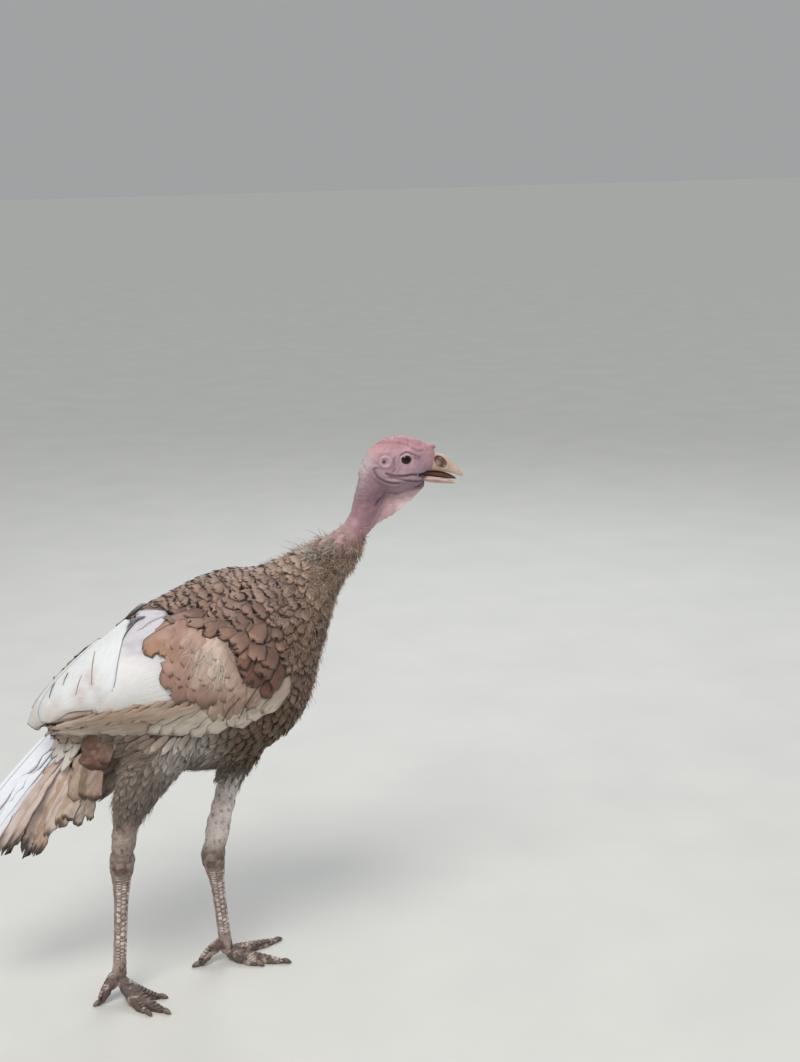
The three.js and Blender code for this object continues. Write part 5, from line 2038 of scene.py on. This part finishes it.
# ---- claws and the plates of the shanks and toes ----
def add_claws():
    for side, leg in LEGS.items():
        parts = [body(claw_rows(leg, tip), 20, 16) for tip in leg["tips"].values()]
        points, faces = joined(parts)
        points[:, 2] = np.maximum(points[:, 2], 0)
        points[:, 2] += 0.25 * grain(points, 4, 81) * ramp(1, 3, points[:, 2])
        mesh = new_mesh("claws_" + side, points, faces)
        tint = painted(even_tint(points.shape[:1], "#5a4b40"), (
            ("#8d7a6a", ramp(-0.1, 0.7, grain(points, 5, 82)) * 0.7),
            ("#2e241d", ramp(2.5, 0.5, points[:, 2]) * 0.6),
        ))
        paint(mesh, "tint", tint)
        piece = new_piece("claws_" + side, mesh, "claw_horn", claw_horn)
        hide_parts(*[f"claw_{side}_{toe}" for toe in leg["tips"]])


PLATE_GRID = vane_grid(5, 6)


def plates(coat, rows, shares, length, middle_turn, wide, lift, grow=0.0):
    """Overlapping plates on a leg, one at each share, running down it."""
    rows = np.asarray(rows, float)
    run = np.linalg.norm(np.diff(along(rows[:, :3], np.linspace(0, 1, 60)), axis=0), axis=1).sum()
    u, v, _ = PLATE_GRID
    number = len(shares)
    round_tip = 1 - 0.25 * u ** 2
    share = shares[:, None, None] + (v * round_tip - 0.3) * length / run
    turn = middle_turn + u * wide * 0.5 * (1 + 0.05 * rng.normal(0, 1, (number, 1, 1)))
    share = np.clip(share, 0.01, 0.985)
    on = surface(rows, share, turn, grow, 0.3)
    out = unit(surface(rows, share, turn, grow + 1, 0.3) - on)
    rise = lift * (v - 0.35) + 0.25 * (1 - u ** 2)
    top = on + out * rise[..., None]
    top[..., 2] = np.maximum(top[..., 2], 0.3)
    tint = paint_leg(top.reshape(-1, 3)).reshape(*top.shape[:-1], 4)
    own = rng.uniform(0.85, 1.2, (number, 1, 1))
    pale = rng.uniform(0.2, 0.75, (number, 1, 1)) * ramp(24, 50, top[..., 2])
    tint = blend(tint, colour("#dccdc7"), pale)
    # Each plate is darker at its root, where the plate before it overlaps, and at its sides: painted shade.
    # own gives each plate its own tone.
    tint[..., :3] *= (own * lerp(0.5, 1.15, ramp(0, 0.5, v)) * (1 - 0.35 * np.abs(u) ** 3))[..., None]
    coat.add_vanes(top, out, 0.5, PLATE_GRID, tint, tint, on[:, 2, 3], 0.004)


def leg_map(points):
    return np.stack([0.1 + (points[..., 0] + 90) / 300, 0.05 + points[..., 2] / 250], -1)


def add_plates():
    for side, leg in LEGS.items():
        coat = Coat("leg_plates_" + side, "scaled_leg", leg_plate, [], leg_map)
        shank = lower_leg_rows(leg)
        front = math.copysign(math.pi / 2, shank[-1][0] - shank[0][0])
        for row, (turn, number, length) in enumerate((
            (-0.42, 21, 8.2), (0.42, 21, 8.2), (-1.2, 30, 5.6), (1.2, 30, 5.6),
            (-1.9, 30, 5.4), (1.9, 30, 5.4),
        )):
            shares = np.linspace(0.35, 0.95, number) + row * 0.006
            plates(coat, shank, shares, length, front + turn, 0.84, 1.2)
        for tip in leg["tips"].values():
            shares = np.linspace(0.2, 0.93, 10)
            plates(coat, toe_rows(leg, tip), shares, 5.8, math.pi / 2, 2.0, 1.6, 1.6)
        coat.make()


def plate_material():
    """Horny leg plates: dry, slightly polished hide with dust in its grain."""
    made, tree, shader, at, tint = painted_material("horny_leg_plate")
    cloud = add(tree, "TexNoise", None, {"Vector": at, "Scale": 500.0, "Detail": 4.0})
    shade = add(tree, "MapRange", None, {"Value": cloud, "To Min": 0.72, "To Max": 1.2})
    dressed = add(tree, "Mix", MULTIPLY, {"Factor": 1.0, "A": tint, "B": shade})
    bump = add(tree, "Bump", None, {"Height": cloud, "Strength": 0.4, "Distance": 0.0004})
    connect(tree, shader, {"Base Color": dressed, "Normal": bump, "Roughness": 0.55})
    return made


leg_plate = plate_material()
add_claws()
add_plates()


# ---- down of the neck and its front, and of the thighs ----
NECK_TONES = np.array([colour(t) for t in ("#957560", "#bb9f8b", "#ceb6a2", "#e0cfc2", "#aa8c77")])
FRONT_TONES = np.array([colour(t) for t in ("#8d6f5d", "#a88a77", "#baa08c", "#7a5e4e")])
PALE_TONES = np.array([colour(t) for t in ("#97897d", "#b8aca2", "#cbc1b9", "#a8998d")])


def add_down():
    neck = Coat("down_neck", "neck_down", soft_down, [], round_body)
    spots = scatter(5.0, lambda p: (neck_share(p) > 0.1) & (p[:, 2] < 546))
    clumps = ramp(-0.35, 0.3, grain(spots, 14, 91))
    spots = spots[rng.random(len(spots)) < ramp(556, 490, spots[:, 2]) * (0.35 + 0.65 * clumps) + 0.04]
    pale = (spots[:, 0] < 214) & (spots[:, 2] > 512)
    fluff(neck, spots[~pale], 8, 10, 0.24, 0.9, 0.4, NECK_TONES)
    fluff(neck, spots[pale], 14, 17, 0.24, 1.0, 0.8, PALE_TONES)
    fuzz = scatter(3.2, lambda p: (neck_share(p) > 0.3) & (p[:, 2] < 552) & (p[:, 2] > 478))
    fuzz = fuzz[rng.random(len(fuzz)) < ramp(556, 496, fuzz[:, 2]) * (0.3 + 0.7 * (fuzz[:, 0] < 222))]
    fluff(neck, fuzz, 4, 6, 0.2, 1.2, 0.5, NECK_TONES)
    front = scatter(5.0, lambda p: (p[:, 0] > 135) & (p[:, 2] > 330) & (p[:, 2] < 530))
    ahead = front[:, 0] + 0.3 * np.maximum(front[:, 2] - 440, 0)
    front = front[rng.random(len(front)) < ramp(135, 200, ahead)]
    fluff(neck, front, 7, 11, 0.24, 0.8, 0.45, FRONT_TONES)
    neck.make()
    legs = Coat("down_thighs", "thigh_feathers", soft_down, [], round_body)
    spots = scatter(5.2, lambda p: leg_share(p) > 0.04)
    spots = spots[rng.random(len(spots)) < feathered(spots)]
    fluff(legs, spots, 9, 18, 0.28, 0.26, 0.14)
    legs.make()


add_down()
